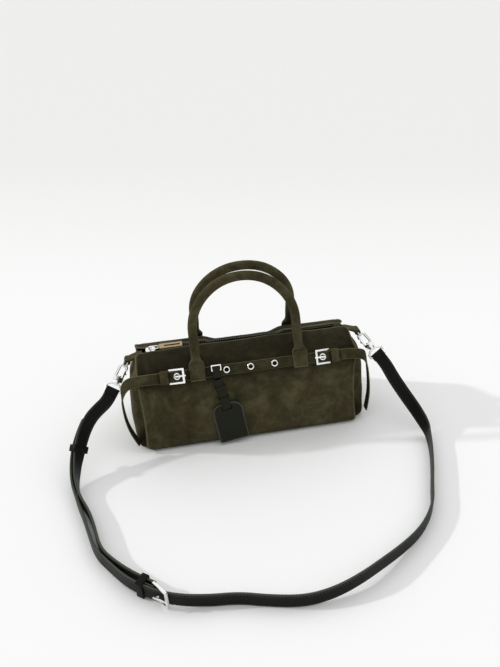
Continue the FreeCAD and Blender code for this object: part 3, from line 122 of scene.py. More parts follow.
SENSOR, IMAGE_HEIGHT, FOCAL_PIXELS = 36, 667, 618.21
CAMERA_AIM, CAMERA_DISTANCE = Vector((8.41, 0, 133.51)) * MM, 0.86456
YAW, PITCH, ROLL = 8.73, 30.19, 2.91
LAMP_WAY, LAMP_ANGLE, WINDOW_PULL, SEEN_SKY = Vector((0.84, -0.25, -0.48)), 2.5, (0.32, 0.42, 0), 0.95
camera_way = Matrix.Identity(4)
for angle, axis in ((-YAW, "Z"), (90 - PITCH, "X"), (-ROLL, "Z")):
    camera_way @= Matrix.Rotation(math.radians(angle), 4, axis)
bpy.ops.object.camera_add()
camera = bpy.context.object
camera.matrix_world = Matrix.Translation(CAMERA_AIM) @ camera_way @ Matrix.Translation((0, 0, CAMERA_DISTANCE))
camera.data.sensor_width = SENSOR
camera.data.lens = SENSOR * FOCAL_PIXELS / IMAGE_HEIGHT
camera.data.clip_start = 0.01
scene.camera = camera

# Studio paper: matt white with painted shade, greyer towards the back and the right where the light falls off,
# so that the floor ends in no line.
paper, shader, place = new_material("white_studio_paper", {"Roughness": 0.9, "Specular IOR Level": 0.2})
floor_way = split(place)
far = calculate("MULTIPLY_ADD", floor_way["X"], 0.35, floor_way["Y"])
painted_light_falloff = remap(far, 0.15, 1.6, curve="SMOOTHSTEP")
feed(shader, "Base Color", mix_colours(painted_light_falloff, "#f7f8f7", "#ececea"))
bpy.ops.mesh.primitive_plane_add(size=160)
floor = bpy.context.object
floor.name = "studio_floor"
floor.data.materials.append(paper)

# Sky: brightest overhead and behind on the right.  Metal mirrors a white room with dark sides, which gives its
# rims a dark line, and the camera sees plain white.
world = bpy.data.worlds.new("studio_sky")
scene.world = world
world.use_nodes = True
tree = world.node_tree
sky = tree.nodes["Background"]
sky.inputs["Color"].default_value = hex_colour("#fbfbfb")
sky_place = add_node(tree, "ShaderNodeTexCoord").outputs["Generated"]
sky_way = split(sky_place)
climb = remap(sky_way["Z"], 0.1, 0.9, 0.34, 1.11, "SMOOTHSTEP")
window = add_node(tree, "ShaderNodeVectorMath", {"operation": "DOT_PRODUCT", 1: WINDOW_PULL}, {0: sky_place})
strength = calculate("MULTIPLY_ADD", climb, window.outputs["Value"], climb)
flags = remap(calculate("ABSOLUTE", sky_way["X"]), 0.58, 0.72, 1.05, 0.04, "SMOOTHSTEP")
ray = add_node(tree, "ShaderNodeLightPath").outputs
mirrored = add_node(tree, "ShaderNodeMix", {"data_type": "FLOAT"},
                    {"Factor": ray["Is Glossy Ray"], "A": strength, "B": flags})
seen = add_node(tree, "ShaderNodeMix", {"data_type": "FLOAT"},
                {"Factor": ray["Is Camera Ray"], "A": mirrored.outputs["Result"]})
seen.inputs["B"].default_value = SEEN_SKY
feed(sky, "Strength", seen.outputs["Result"])

bpy.ops.object.light_add(type="SUN")
lamp = bpy.context.object
lamp.data.energy = 1.1
lamp.data.angle = math.radians(LAMP_ANGLE)
lamp.rotation_mode = "QUATERNION"
lamp.rotation_quaternion = LAMP_WAY.to_track_quat("-Z", "Y")


# Body panels: a front and a back of thick olive suede, one sheet each, from the base's seam round the corner
# and over the shoulder to the zip.  Their ends are turned over and sewn to the gussets.
def grain(place, size, **settings):
    """Noise with grains of a size in millimetres."""
    settings = {"Scale": 1 / (size * MM), **settings}
    return add_node(place.id_data, "ShaderNodeTexNoise", settings, {"Vector": place}).outputs["Fac"]


def relief(shader, height, strength, depth):
    """Relief of a depth in millimetres on a shader."""
    settings = {"Strength": strength, "Distance": depth * MM}
    feed(shader, "Normal", add_node(shader.id_data, "ShaderNodeBump", settings, {"Height": height}).outputs["Normal"])


def marked(shader, attribute):
    """The share by which a mesh's points are marked with an attribute."""
    return add_node(shader.id_data, "ShaderNodeAttribute", {"attribute_name": attribute}).outputs["Fac"]


def suede(name, dark, middle, light, worn_and_highlit_edge):
    """Brushed suede; attributes mark edges painted paler, part wear and part highlight, its black flesh side and
    painted shade.
    """
    material, shader, place = new_material(name, {
        "Roughness": 0.95, "Specular IOR Level": 0.12, "Sheen Weight": 0.12, "Sheen Roughness": 0.5,
        "Sheen Tint": hex_colour("#8a8668")})
    cloud = grain(place, 34, Detail=6.0, Roughness=0.66, Distortion=0.6)
    patch = grain(place, 12, Detail=6.0, Roughness=0.7)
    mixed = calculate("MULTIPLY_ADD", patch, 0.5, cloud)
    nap = calculate("MULTIPLY_ADD", grain(place, 0.8, Detail=3.0, Roughness=0.7), 0.3, mixed)
    ramp = add_node(shader.id_data, "ShaderNodeValToRGB", None, {"Fac": remap(nap, 0.68, 1.12)})
    ramp.color_ramp.elements[0].color = hex_colour(dark)
    ramp.color_ramp.elements[1].color = hex_colour(light)
    ramp.color_ramp.elements.new(0.5).color = hex_colour(middle)
    brown = remap(grain(place, 24, Detail=4.0), 0.48, 0.72, 0, 0.4)
    colour = mix_colours(brown, ramp.outputs["Color"], "#4a3b28")
    # Painted shade darkens the colour where the shade attribute is set; edges are painted paler, part wear, part
    # highlight.
    for attribute, share, tint in (("shade", 0.8, "#0b0a05"), ("edge", 0.8, worn_and_highlit_edge), ("inside", 1.0, "#171610")):
        colour = mix_colours(calculate("MULTIPLY", marked(shader, attribute), share), colour, tint)
    feed(shader, "Base Color", colour)
    relief(shader, nap, 0.5, 0.35)
    return material


def select_alone(piece):
    """Make a piece the only one that is selected."""
    bpy.ops.object.select_all(action="DESELECT")
    piece.select_set(True)
    bpy.context.view_layer.objects.active = piece


def new_object(name, mesh, material):
    """An object of one material for a finished mesh, in the scene and selected alone."""
    mesh.materials.clear()
    mesh.materials.append(material)
    piece = bpy.data.objects.new(name, mesh)
    scene.collection.objects.link(piece)
    select_alone(piece)
    return piece


def smooth_up_to(angle):
    """Shade the selected piece smooth, apart from edges sharper than an angle in degrees."""
    bpy.ops.object.shade_smooth_by_angle(angle=math.radians(angle))


def shape_object(name, shape, material):
    """An object for a finished shape, which is freed."""
    mesh = bpy.data.meshes.new(name)
    shape.to_mesh(mesh)
    shape.free()
    return new_object(name, mesh, material)


def settle(piece, body, slot, *nodes):
    """Put a finished piece on its body and hide the solids that it stands for; its finish's slot is not used."""
    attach(piece, body)
    if nodes:
        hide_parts(*nodes)


def stations(length, step, radius):
    """Distances along one side of a sheet, close together where its rounded rims are."""
    rim = [radius * share for share in (0, 0.08, 0.3, 0.62, 1)]
    count = max(1, round((length - 2 * radius) / step))
    middle = [radius + (length - 2 * radius) * index / count for index in range(1, count)]
    return rim + middle + [length - distance for distance in reversed(rim)]


def soft_sheet(name, spot, length, width, step, thick, material, edge_reach=2 * MM, dark=None):
    """A sheet with rounded rims round the middle surface that spot gives at two distances; dark gives the darkening
    painted into it, mostly painted shade.
    """
    radius = thick / 2
    firsts, seconds = stations(length, step, radius), stations(width, step, radius)
    grid = [[spot(a, b) for b in seconds] for a in firsts]
    shape = bmesh.new()
    mark = shape.verts.layers.float.new("edge")
    shade = shape.verts.layers.float.new("shade")
    sheets = ([], [])
    for i, a in enumerate(firsts):
        rows = ([], [])
        for j, b in enumerate(seconds):
            along = grid[min(i + 1, len(firsts) - 1)][j] - grid[max(i - 1, 0)][j]
            across = grid[i][min(j + 1, len(seconds) - 1)] - grid[i][max(j - 1, 0)]
            out = along.cross(across).normalized()
            inset = min(a, length - a, b, width - b)
            lift = radius * math.sqrt(max(0, 1 - (1 - min(inset / radius, 1)) ** 2))
            upper = shape.verts.new(grid[i][j] + out * lift)
            lower = shape.verts.new(grid[i][j] - out * lift) if lift > 1e-7 else upper
            for vertex, row in ((upper, rows[0]), (lower, rows[1])):
                vertex[mark] = max(0, 1 - inset / edge_reach)
                vertex[shade] = dark(vertex.co) if dark else 0.0
                row.append(vertex)
        sheets[0].append(rows[0])
        sheets[1].append(rows[1])
    for sheet, flip in zip(sheets, (False, True)):
        for i in range(len(firsts) - 1):
            for j in range(len(seconds) - 1):
                ring = [sheet[i][j], sheet[i + 1][j], sheet[i + 1][j + 1], sheet[i][j + 1]]
                shape.faces.new(ring[::-1] if flip else ring)
    piece = shape_object(name, shape, material)
    bpy.ops.object.shade_smooth()
    return piece


SIDES, HANDS = (("front", -1), ("back", 1)), (("left", -1), ("right", 1))
BODY_HEIGHT, BELT_LEVEL, FEET_X = 130, 108, (-72.5, 69)
lean_angle, ridge_angle = math.radians(10.146), math.radians(88.187)
CORNER_AT, CORNER_RADIUS = Vector((0, 53.052, 10)) * MM, 10 * MM
SHOULDER_AT, SHOULDER_RADIUS = Vector((0, 6.156, 87.512)) * MM, 42.509 * MM
SEAM_FLAT, LEAN_RUN = 3.052 * MM, 84.56 * MM


def corner_length(depth):
    """Length of the section's lower corner, at a depth below the outer face."""
    return (CORNER_RADIUS - depth) * (math.pi / 2 + lean_angle)


def section_length(depth):
    """Length of the body's section from the base's seam to the zip, at a depth below the outer face."""
    return SEAM_FLAT + corner_length(depth) + LEAN_RUN + (SHOULDER_RADIUS - depth) * (ridge_angle - lean_angle)


def section_place(distance, depth):
    """Place and outward direction on the back half of the section, at a distance from the base's seam."""
    if distance <= SEAM_FLAT:
        return Vector((0, CORNER_AT.y - SEAM_FLAT + distance, depth)), Vector((0, 0, -1))
    distance -= SEAM_FLAT
    if distance <= corner_length(depth):
        angle = distance / (CORNER_RADIUS - depth) - math.pi / 2
        out = Vector((0, math.cos(angle), math.sin(angle)))
        return CORNER_AT + out * (CORNER_RADIUS - depth), out
    distance -= corner_length(depth)
    angle = lean_angle + max(0, distance - LEAN_RUN) / (SHOULDER_RADIUS - depth)
    out = Vector((0, math.cos(angle), math.sin(angle)))
    if distance <= LEAN_RUN:
        return CORNER_AT + out * (CORNER_RADIUS - depth) + Vector((0, -out.z, out.y)) * distance, out
    return SHOULDER_AT + out * (SHOULDER_RADIUS - depth), out


def rise_between(value, low, high):
    """A share that grows smoothly from 0 at low to 1 at high."""
    share = min(1, max(0, (value - low) / (high - low)))
    return share * share * (3 - 2 * share)


def hump(value, middle, width):
    """A share that is 1 at a middle and falls off smoothly to both sides."""
    return math.exp(-((value - middle) / width) ** 2)


SUEDE_THICK = 2.2 * MM
PANEL_LENGTH, PANEL_TAPER, PANEL_RISE = 300, 6, section_length(SUEDE_THICK / 2)
TOP_CORNER, FOOT_CORNER, FOOT_REACH, END_SHIFT, END_LEAN, END_PULL = 10, 8, 13, 3, 5.5, 4


def panel_end(level):
    """Half the panels' plain length at a height, in millimetres."""
    return PANEL_LENGTH / 2 - PANEL_TAPER * level / BODY_HEIGHT


def panel_edge(level, hand):
    """Half the panels' length; the left end is longer, both lean out at the top and the belt pulls the right one."""
    pulled = END_PULL * hump(level, BELT_LEVEL, 11) if hand > 0 else 0
    return (panel_end(level) - END_SHIFT * hand * rise_between(level, 0, 12)
            + END_LEAN * rise_between(level, 30, 118) + pulled)


def ridge_sag(x):
    """How far the open back ridge sags between the handles' feet, in millimetres, at a place along it."""
    return 7 * (1 - rise_between(abs(x), 36, 60))


def shoulder_sag(x, level):
    """How far the back sags below that ridge at a height, in millimetres."""
    return ridge_sag(x) * rise_between(level, 92, 118)


def panel_slack(x, level, from_end, hand, way):
    """How far a panel stands out, in millimetres: its slack and its hem, both held in by the belt."""
    sag = 1.6 * noise.noise(Vector((x * 15, level * 0.018, 3.1 * way))) - 0.5
    sag += 0.6 * noise.noise(Vector((x * 48, level * 0.05, 7.7 * way)))
    hem = 0.7 * hump(from_end, 0, 3.2) - 0.8 * hump(from_end, 7.5, 2.4)
    hem -= 3.2 * max(0, 1 - from_end / 9) ** 2 * (1 if hand > 0 else 0.4)
    return (sag + hem) * rise_between(level, 4, 30) * (1 - 0.92 * hump(level, BELT_LEVEL, 15))


def ridge_wave(x, level, way):
    """How far a panel's top stands up, in millimetres: a slight wave, and behind it the sag of the open ridge."""
    wave = 0.7 * math.sin(x * 41 + 0.6 + way) + 0.7 * noise.noise(Vector((x * 30, 0, way)))
    wave += 1.2 + 1.8 * rise_between(x / MM, -95, -60) if way < 0 else -1.0
    wave *= max(0, (level - 116) / 14) ** 2
    return wave - shoulder_sag(x / MM, level) if way > 0 else wave


def panel_tone_and_painted_shade(place):
    """Panel darkening: darker over the shoulder, and painted shade by the belt, the handles' feet, the back ridge and
    seams.
    """
    level, x = place.z / MM, place.x / MM
    to_ends = 1 - 0.55 * rise_between(x, 80, 125) - 0.35 * rise_between(-x, 80, 130)
    dark = 0.85 * rise_between(level, 110, 118) * to_ends
    if place.y < 0:
        # Painted shade: lines above and below the belt and beside the handles' feet.
        over_belt, under_belt = 0.95 * hump(level, 115.6, 1.8), 0.8 * math.exp(min(0, level - 101.5) / 9)
        beside = 0.9 * rise_between(level, 94, 98) * (1 - rise_between(level, 120, 126))
        dark = max(dark, over_belt, under_belt, *(beside * hump(abs(x - foot), 11.5, 2.2) for foot in FEET_X))
    else:
        # Painted shade on the back panel's rim along the open ridge.
        dark = max(dark, rise_between(level + ridge_sag(x), 119, 124) * (1 - rise_between(abs(x), 85, 110)))
    # Painted shade along the base's seam and at the panels' ends.
    return min(1, dark + 0.3 * hump(level, 3, 5) + 0.25 * hump(abs(x), 144, 4))


# Brushed suede: clouds of lighter and darker nap with brown in them, so that the skin looks soft and handled.
olive_suede = suede("brushed_olive_suede", "#302d1b", "#47432e", "#605b43", "#7d785b")
for side, way in SIDES:
    def panel_spot(a, b):
        place, out = section_place(b, SUEDE_THICK / 2)
        level = place.z / MM
        share = 2 * a / (PANEL_LENGTH * MM) - 1
        hand = -way if share > 0 else way
        from_top = min(TOP_CORNER, (PANEL_RISE - b) / MM)
        round_top = TOP_CORNER - math.sqrt(TOP_CORNER ** 2 - (TOP_CORNER - from_top) ** 2)
        half = panel_edge(level, hand) - round_top - FOOT_CORNER * max(0, 1 - level / FOOT_REACH) ** 2
        x = -way * share * half * MM
        lift = panel_slack(x, level, (1 - abs(share)) * half, hand, way) * MM
        return Vector((x, way * (place.y + out.y * lift), place.z + out.z * lift + ridge_wave(x, level, way) * MM))

    panel = soft_sheet(f"{side}_panel_suede", panel_spot, PANEL_LENGTH * MM, PANEL_RISE, 2 * MM, SUEDE_THICK,
                       olive_suede, 2.4 * MM, panel_tone_and_painted_shade)
    settle(panel, "bag", "olive_suede", f"{side}_panel")


# Gussets: the two suede ends.  Each is sewn inside the panels' ends, folds in behind them as a pleat and
# bulges out between the pleats.
GUSSET_HEIGHT, GUSSET_RUN, GUSSET_THICK, GUSSET_INSET = 122 * MM, 160 * MM, 1.6 * MM, 2.5 * MM
GUSSET_FOOT, GUSSET_FOOT_HALF = 2.6 * MM, 49.7 * MM
PLEAT_SHARES = ((0, 0.1), (0.1, 0.5), (0.3, 1), (0.58, 1), (0.78, 0.8), (0.9, 0.35), (1, 0))
BULGE_SHARES = ((0, 0.6), (0.1, 0.85), (0.3, 1), (0.58, 1), (0.78, 0.85), (0.9, 0.5), (1, 0.2))
PLEAT_DEPTH, BULGES = 9 * MM, {-1: 18 * MM, 1: 25 * MM}


def between(table, at):
    """A value read smoothly from rows of place and value."""
    if at <= table[0][0]:
        return table[0][1]
    for (low, first), (high, second) in zip(table, table[1:]):
        if at <= high:
            return first + (second - first) * rise_between(at, low, high)
    return table[-1][1]


def read_along(values, share):
    """A vector read from a list at a share of its length."""
    at = share * (len(values) - 1)
    low = min(int(at), len(values) - 2)
    return values[low].lerp(values[low + 1], at - low)


def half_depth_inside(height):
    """Half the clear depth between the panels at a height."""
    low, high = 0.0, section_length(GUSSET_INSET)
    for _ in range(40):
        middle = (low + high) / 2
        if section_place(middle, GUSSET_INSET)[0].z < height:
            low = middle
        else:
            high = middle
    return section_place(low, GUSSET_INSET)[0].y


def pleat_painted_shade(place):
    """Painted shade on a gusset, deep in the pleats behind the panels' ends."""
    share = abs(place.y) / half_depth_inside(max(place.z, GUSSET_FOOT))
    return 0.95 * rise_between(share, 0.74, 0.84) * (1 - rise_between(share, 0.96, 1))


def gusset_profile(height, way):
    """Points of the gusset's smooth outline at a height, from the front flange round to the back one."""
    level = height / GUSSET_HEIGHT
    pleat, bulge = PLEAT_DEPTH * between(PLEAT_SHARES, level), BULGES[way] * between(BULGE_SHARES, level)
    half = GUSSET_FOOT_HALF if height < GUSSET_FOOT else half_depth_inside(height)
    edge, seam = (panel_end(height / MM) - END_SHIFT * way) * MM, (panel_edge(height / MM, way) - 0.3) * MM
    low = 1 - rise_between(level, 0, 0.4)
    front = [(seam - 10 * MM, -half), (seam - 2 * MM, -half), (seam, -0.985 * half),
             (seam - 0.5 * MM, -(0.93 + 0.03 * low) * half), (seam - pleat, -(0.82 + 0.12 * low) * half),
             (edge - 0.45 * pleat + 0.2 * bulge, -(0.74 + 0.17 * low) * half),
             (edge + 0.8 * bulge, -(0.58 + 0.27 * low) * half), (edge + bulge, -0.22 * half)]
    outline = front + [(x, -y) for x, y in reversed(front)]
    for _ in range(3):
        cut = [outline[0]]
        for (x0, y0), (x1, y1) in zip(outline, outline[1:]):
            cut += [(x0 + (x1 - x0) * share, y0 + (y1 - y0) * share) for share in (0.25, 0.75)]
        outline = cut + [outline[-1]]
    return [Vector((x, y, height)) for x, y in outline]


for hand, way in HANDS[::-1]:
    profiles = {}

    def gusset_spot(a, b):
        if b not in profiles:
            profiles[b] = gusset_profile(b, way)
        place = read_along(profiles[b], a / GUSSET_RUN)
        sag = 1.1 * noise.noise(Vector((place.y * 34, place.z * 16, 5.3 * way))) * min(1, place.z / (20 * MM))
        return Vector((way * (place.x + (sag - 0.8) * MM), way * place.y, place.z))

    gusset = soft_sheet(f"{hand}_gusset_suede", gusset_spot, GUSSET_RUN, GUSSET_HEIGHT, 2 * MM, GUSSET_THICK,
                        olive_suede, 1.5 * MM, pleat_painted_shade)
    settle(gusset, "bag", "olive_suede", f"{hand}_gusset")


# Base and lining: a suede floor sewn between the panels with a stiff board on it, and thin woven cloth inside
# both panels, held by the zip's seam and along the base.
def fine_rows(way, pitch):
    """Waves along a coordinate, with a pitch in millimetres."""
    return calculate("SINE", calculate("MULTIPLY", way, 2 * math.pi / (pitch * MM)))


BASE_LENGTH, BASE_DEPTH = 272 * MM, 100 * MM
base = soft_sheet("base_suede", lambda a, b: Vector((a - BASE_LENGTH / 2, BASE_DEPTH / 2 - b, SUEDE_THICK / 2)),
                  BASE_LENGTH, BASE_DEPTH, 4 * MM, SUEDE_THICK, olive_suede)
settle(base, "bag", "olive_suede", "base_panel")

# Fibre board: flecks of two greys, so that it looks like pressed pulp.
grey_board, shader, place = new_material("grey_fibre_board", {"Roughness": 0.9})
fleck = grain(place, 1.5, Detail=4.0)
feed(shader, "Base Color", mix_colours(fleck, "#5c5850", "#7d786c"))
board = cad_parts["base_board"]
board.data.materials.clear()
board.data.materials.append(grey_board)

# Cotton lining: a fine plain weave, dark and dull in the open top.
black_cloth, shader, place = new_material("black_cotton_lining", {"Roughness": 0.85})
strand = split(place)
weave = calculate("MULTIPLY", fine_rows(strand["X"], 0.9), fine_rows(strand["Z"], 0.9))
feed(shader, "Base Color", mix_colours(remap(weave, -1, 1), "#191916", "#2b2a25"))
relief(shader, weave, 0.4, 0.1)

LINING_LENGTH, LINING_RISE, LINING_THICK, LINING_DEPTH = 252 * MM, 130 * MM, 0.7 * MM, 2.85 * MM
for side, way in SIDES:
    def lining_spot(a, b):
        place, out = section_place(SEAM_FLAT + corner_length(LINING_DEPTH) + b, LINING_DEPTH)
        x = -way * (a - LINING_LENGTH / 2)
        slack = 0.9 * max(0, noise.noise(Vector((x * 26, b * 20, 2.2 * way)))) * MM
        sink = shoulder_sag(x / MM, place.z / MM) * MM if way > 0 else 0
        return Vector((x, way * (place.y - out.y * slack), place.z - out.z * slack - sink))

    lining = soft_sheet(f"{side}_lining_cloth", lining_spot, LINING_LENGTH, LINING_RISE, 4 * MM, LINING_THICK,
                        black_cloth)
    settle(lining, "bag", "lining_cloth", f"{side}_lining")


# Zip: two woven black tapes sewn under the panels' edges, each with its row of nickel teeth, and at the left a
# nickel slider whose link carries a gilt pull with a long slot.
def plated(name, colour, patches, detail, low, high):
    """Plated metal, polished unevenly in patches of a size in millimetres."""
    material, shader, place = new_material(name, {"Base Color": hex_colour(colour), "Metallic": 1.0})
    feed(shader, "Roughness", remap(grain(place, patches, Detail=detail), 0, 1, low, high))
    return material, shader, place


def apply_modifier(piece, kind, **settings):
    """Add one modifier to a piece and apply it."""
    select_alone(piece)
    modifier = piece.modifiers.new(kind.lower(), kind)
    for key, value in settings.items():
        setattr(modifier, key, value)
    bpy.ops.object.modifier_apply(modifier=modifier.name)


def eased_copy(node, ease, material):
    """A copy of a CAD solid with its sharp edges rounded by a size in millimetres."""
    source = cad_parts[node]
    mesh = source.data.copy()
    mesh.transform(source.matrix_world)
    shape = bmesh.new()
    shape.from_mesh(mesh)
    bmesh.ops.remove_doubles(shape, verts=shape.verts, dist=2e-6)
    bmesh.ops.dissolve_limit(shape, angle_limit=math.radians(1.5), verts=shape.verts, edges=shape.edges)
    shape.to_mesh(mesh)
    shape.free()
    piece = new_object(f"{node}_piece", mesh, material)
    if ease:
        apply_modifier(piece, "BEVEL", width=ease * MM, segments=3, limit_method="ANGLE",
                       angle_limit=math.radians(40), use_clamp_overlap=True)
    smooth_up_to(38)
    return piece


def settle_eased(node, ease, material, body, slot):
    """Put a rounded copy of a CAD solid in that solid's place."""
    settle(eased_copy(node, ease, material), body, slot, node)


# Zip tape: black twill with a slanting rib, painted darker still as painted shade, and matt, so that the opening
# looks deep.
shaded_black_tape, shader, place = new_material("black_zip_tape_with_painted_shade", {"Roughness": 0.9, "Specular IOR Level": 0.1})
strand = split(place)
slant = calculate("PINGPONG", strand["Y"], 1.2 * MM)
twill = fine_rows(calculate("ADD", slant, strand["X"]), 0.8)
feed(shader, "Base Color", mix_colours(remap(twill, -1, 1), "#060605", "#0f0f0e"))
relief(shader, twill, 0.5, 0.12)

# Polished nickel: bright, with a few dull patches and hairlines, so that the hardware glints but looks used.
nickel, shader, place = plated("polished_nickel", "#f1f1ef", 7, 4.0, 0.08, 0.22)
relief(shader, grain(place, 0.35, Detail=2.0), 0.05, 0.05)

# Dulled teeth: grey metal, painted dark as painted shade, that smears its reflections, so that the row stays quiet
# under the ridge.
shaded_teeth_metal, *_ = new_material("dull_nickel_teeth_with_painted_shade", {"Base Color": hex_colour("#5b5b58"), "Metallic": 1.0,
                                                     "Roughness": 0.48})

# Gilt plate: a brushed, brownish gold, the one warm spot among the metals.
gilt, *_ = plated("brushed_gilt_plate", "#ab9473", 5, 3.0, 0.24, 0.4)

TAPE_HALF, TAPE_LOW, TAPE_WIDTH, TAPE_LEVEL, TAPE_THICK = 140 * MM, 5.7 * MM, 9 * MM, 125.85 * MM, 0.9 * MM
TOOTH_PITCH, TOOTH_COUNT, TOOTH_SIZE, TOOTH_OUT = 3 * MM, 91, (1.6 * MM, 2.3 * MM, 2.6 * MM), 4.65 * MM
for side, way in SIDES:
    def tape_spot(a, b):
        x = way * (a - TAPE_HALF)
        sink = ridge_sag(x / MM) * rise_between(b / MM, 0, 3) * MM if way > 0 else 0
        return Vector((x, way * (TAPE_LOW + b), TAPE_LEVEL - sink))

    tape = soft_sheet(f"zip_tape_{side}_cloth", tape_spot, 2 * TAPE_HALF, TAPE_WIDTH, 3 * MM, TAPE_THICK, shaded_black_tape)
    settle(tape, "bag", "zip_cloth", f"zip_tape_{side}")
    first_tooth = way * TOOTH_PITCH / 2 * (1 - TOOTH_COUNT + (1 if way < 0 else 0))
    bpy.ops.object.select_all(action="DESELECT")
    bpy.ops.mesh.primitive_cube_add(size=1, location=(first_tooth, way * TOOTH_OUT, TAPE_LEVEL), scale=TOOTH_SIZE)
    teeth = bpy.context.object
    teeth.name = f"zip_teeth_{side}_metal"
    bpy.ops.object.transform_apply(location=True, rotation=True, scale=True)
    apply_modifier(teeth, "BEVEL", width=0.4 * MM, segments=2)
    apply_modifier(teeth, "ARRAY", count=TOOTH_COUNT, use_relative_offset=False, use_constant_offset=True,
                   constant_offset_displace=(way * TOOTH_PITCH, 0, 0))
    smooth_up_to(40)
    teeth.data.materials.append(shaded_teeth_metal)
    settle(teeth, "bag", "nickel", f"zip_teeth_{side}")

settle_eased("zip_slider", 0.4, nickel, "slider", "nickel")
settle_eased("zip_link", 0, nickel, "link", "nickel")
settle_eased("zip_pull", 0.4, gilt, "pull", "gold_plate")


# Handles: two rolled suede handles.  Each roll runs down into a flat leaf at both feet, which is sewn on over
# the belt in front and straight on the panel behind.
def add_spline(curve, kind, points, closed=False):
    """One spline of a curve with these points."""
    spline = curve.splines.new(kind)
    spline.points.add(len(points) - 1)
    for knot, point in zip(spline.points, points):
        knot.co = (*point, 1)
    spline.use_cyclic_u = closed
    return spline


def curve_mesh(curve):
    """The mesh that a curve makes; the curve is removed."""
    guide = bpy.data.objects.new(curve.name, curve)
    scene.collection.objects.link(guide)
    mesh = bpy.data.meshes.new_from_object(guide)
    bpy.data.objects.remove(guide)
    bpy.data.curves.remove(curve)
    return mesh


def route_line(points, steps=10):
    """The line of a smooth spline with these points as its control points."""
    curve = bpy.data.curves.new("route", "CURVE")
    curve.dimensions = "3D"
    spline = add_spline(curve, "NURBS", points)
    spline.order_u = 3
    spline.use_endpoint_u = True
    spline.resolution_u = steps
    mesh = curve_mesh(curve)
    line = [vertex.co.copy() for vertex in mesh.vertices]
    bpy.data.meshes.remove(mesh)
    return line


def run_lengths(line):
    """Distance from a line's start to each of its points."""
    gone = [0.0]
    for first, second in zip(line, line[1:]):
        gone.append(gone[-1] + (second - first).length)
    return gone


def spread(values, count):
    """A list of vectors stretched evenly over a number of places."""
    return [read_along(values, index / (count - 1)) for index in range(count)]


def along_at(line, index):
    """Direction of a line at one of its points."""
    return (line[min(index + 1, len(line) - 1)] - line[max(index - 1, 0)]).normalized()


def squared_to(direction, along):
    """The part of a direction that is square to a line's, as a unit vector."""
    return (direction - along * direction.dot(along)).normalized()


def add_skin(shape, rings):
    """Faces between rings of points, and one at each end."""
    for first, second in zip(rings, rings[1:]):
        for index in range(len(first)):
            after = (index + 1) % len(first)
            shape.faces.new((first[index], first[after], second[after], second[index]))
    shape.faces.new(rings[0][::-1])
    shape.faces.new(rings[-1])


def stitch_rows(name, rows, pitch, length, radius, material):
    """Rows of raised stitches, from millimetres; each row is a list of points with their outward directions."""
    shape = bmesh.new()
    for row in rows:
        travelled, due = 0.0, pitch * MM / 2
        for (start, out), (end, _) in zip(row, row[1:]):
            step = (end - start).length
            while step > 0 and due <= travelled + step:
                centre = start.lerp(end, (due - travelled) / step)
                along = (end - start).normalized()
                across = out.cross(along).normalized()
                rings = []
                for share, size in ((-0.5, 0.25), (-0.32, 0.9), (0.32, 0.9), (0.5, 0.25)):
                    middle = centre + along * (share * length * MM)
                    turns = [math.radians(60 * corner) for corner in range(6)]
                    rings.append([shape.verts.new(middle + (across * math.cos(turn) + out * math.sin(turn) * 0.8)
                                                  * (size * radius * MM)) for turn in turns])
                add_skin(shape, rings)
                due += pitch * MM
            travelled += step
    bmesh.ops.recalc_face_normals(shape, faces=shape.faces)
    piece = shape_object(name, shape, material)
    bpy.ops.object.shade_smooth()
    return piece


def join(first, *others):
    """Make one object of several."""
    select_alone(first)
    for piece in others:
        piece.select_set(True)
    bpy.ops.object.join()
    return first


BELT_AT = Vector((0, -43.402, BELT_LEVEL)) * MM
BELT_OUT, BELT_UP = Vector((0, -0.87619, 0.48197)), Vector((0, 0.48197, 0.87619))
HALF_SPAN, HANDLE_SHIFT, TAB_REACH, HINGE_UP, FOOT_BEND = 69 * MM, 3.5 * MM, 10, 22.5 * MM, 11 * MM
HALF_WIDTHS = ((-10, 9.6), (-9, 10.0), (-1, 10.1), (8, 10.4), (12, 10.4), (14.5, 9.5), (18, 7.2), (21, 6.1),
               (26, 5.9), (36, 6.3))
HALF_DEPTHS = ((-10, 1.05), (-8, 1.3), (6, 1.4), (11, 1.9), (14, 2.8), (18, 4.3), (22, 5.4), (27, 5.9), (36, 6.3))
SQUARENESS = ((-10, 6), (10, 5), (15, 3), (22, 2.2), (30, 2))
LEAF_LIFT = ((5, 1), (20, 0))
ROLL_SIDES = 40
tilt = math.radians(9.5)
handle_up, handle_out = Vector((0, math.sin(tilt), math.cos(tilt))), Vector((0, -math.cos(tilt), math.sin(tilt)))


def handle_route(tab_at, hinge, foot_out):
    """Control points and outward directions of the front handle, from its left foot over to its right one."""
    knots = [(tab_at + BELT_UP * (up * MM), BELT_OUT, 1.0) for up in (-TAB_REACH, 12)]
    knots += [(hinge + handle_up * (climb * MM), handle_out, share)
              for share, climb in ((1.0, 7), (1.0, 63.6), (0.414, 104))]
    left = [(place - Vector((share * HALF_SPAN, 0, 0)), out) for place, out, share in knots]
    extras = [foot_out * share for share in (1, 1, 0.6, 0, 0)]
    right = [(place + Vector((share * HALF_SPAN + extra, 0, 0)), out)
             for (place, out, share), extra in zip(knots, extras)]
    return left + right[::-1]


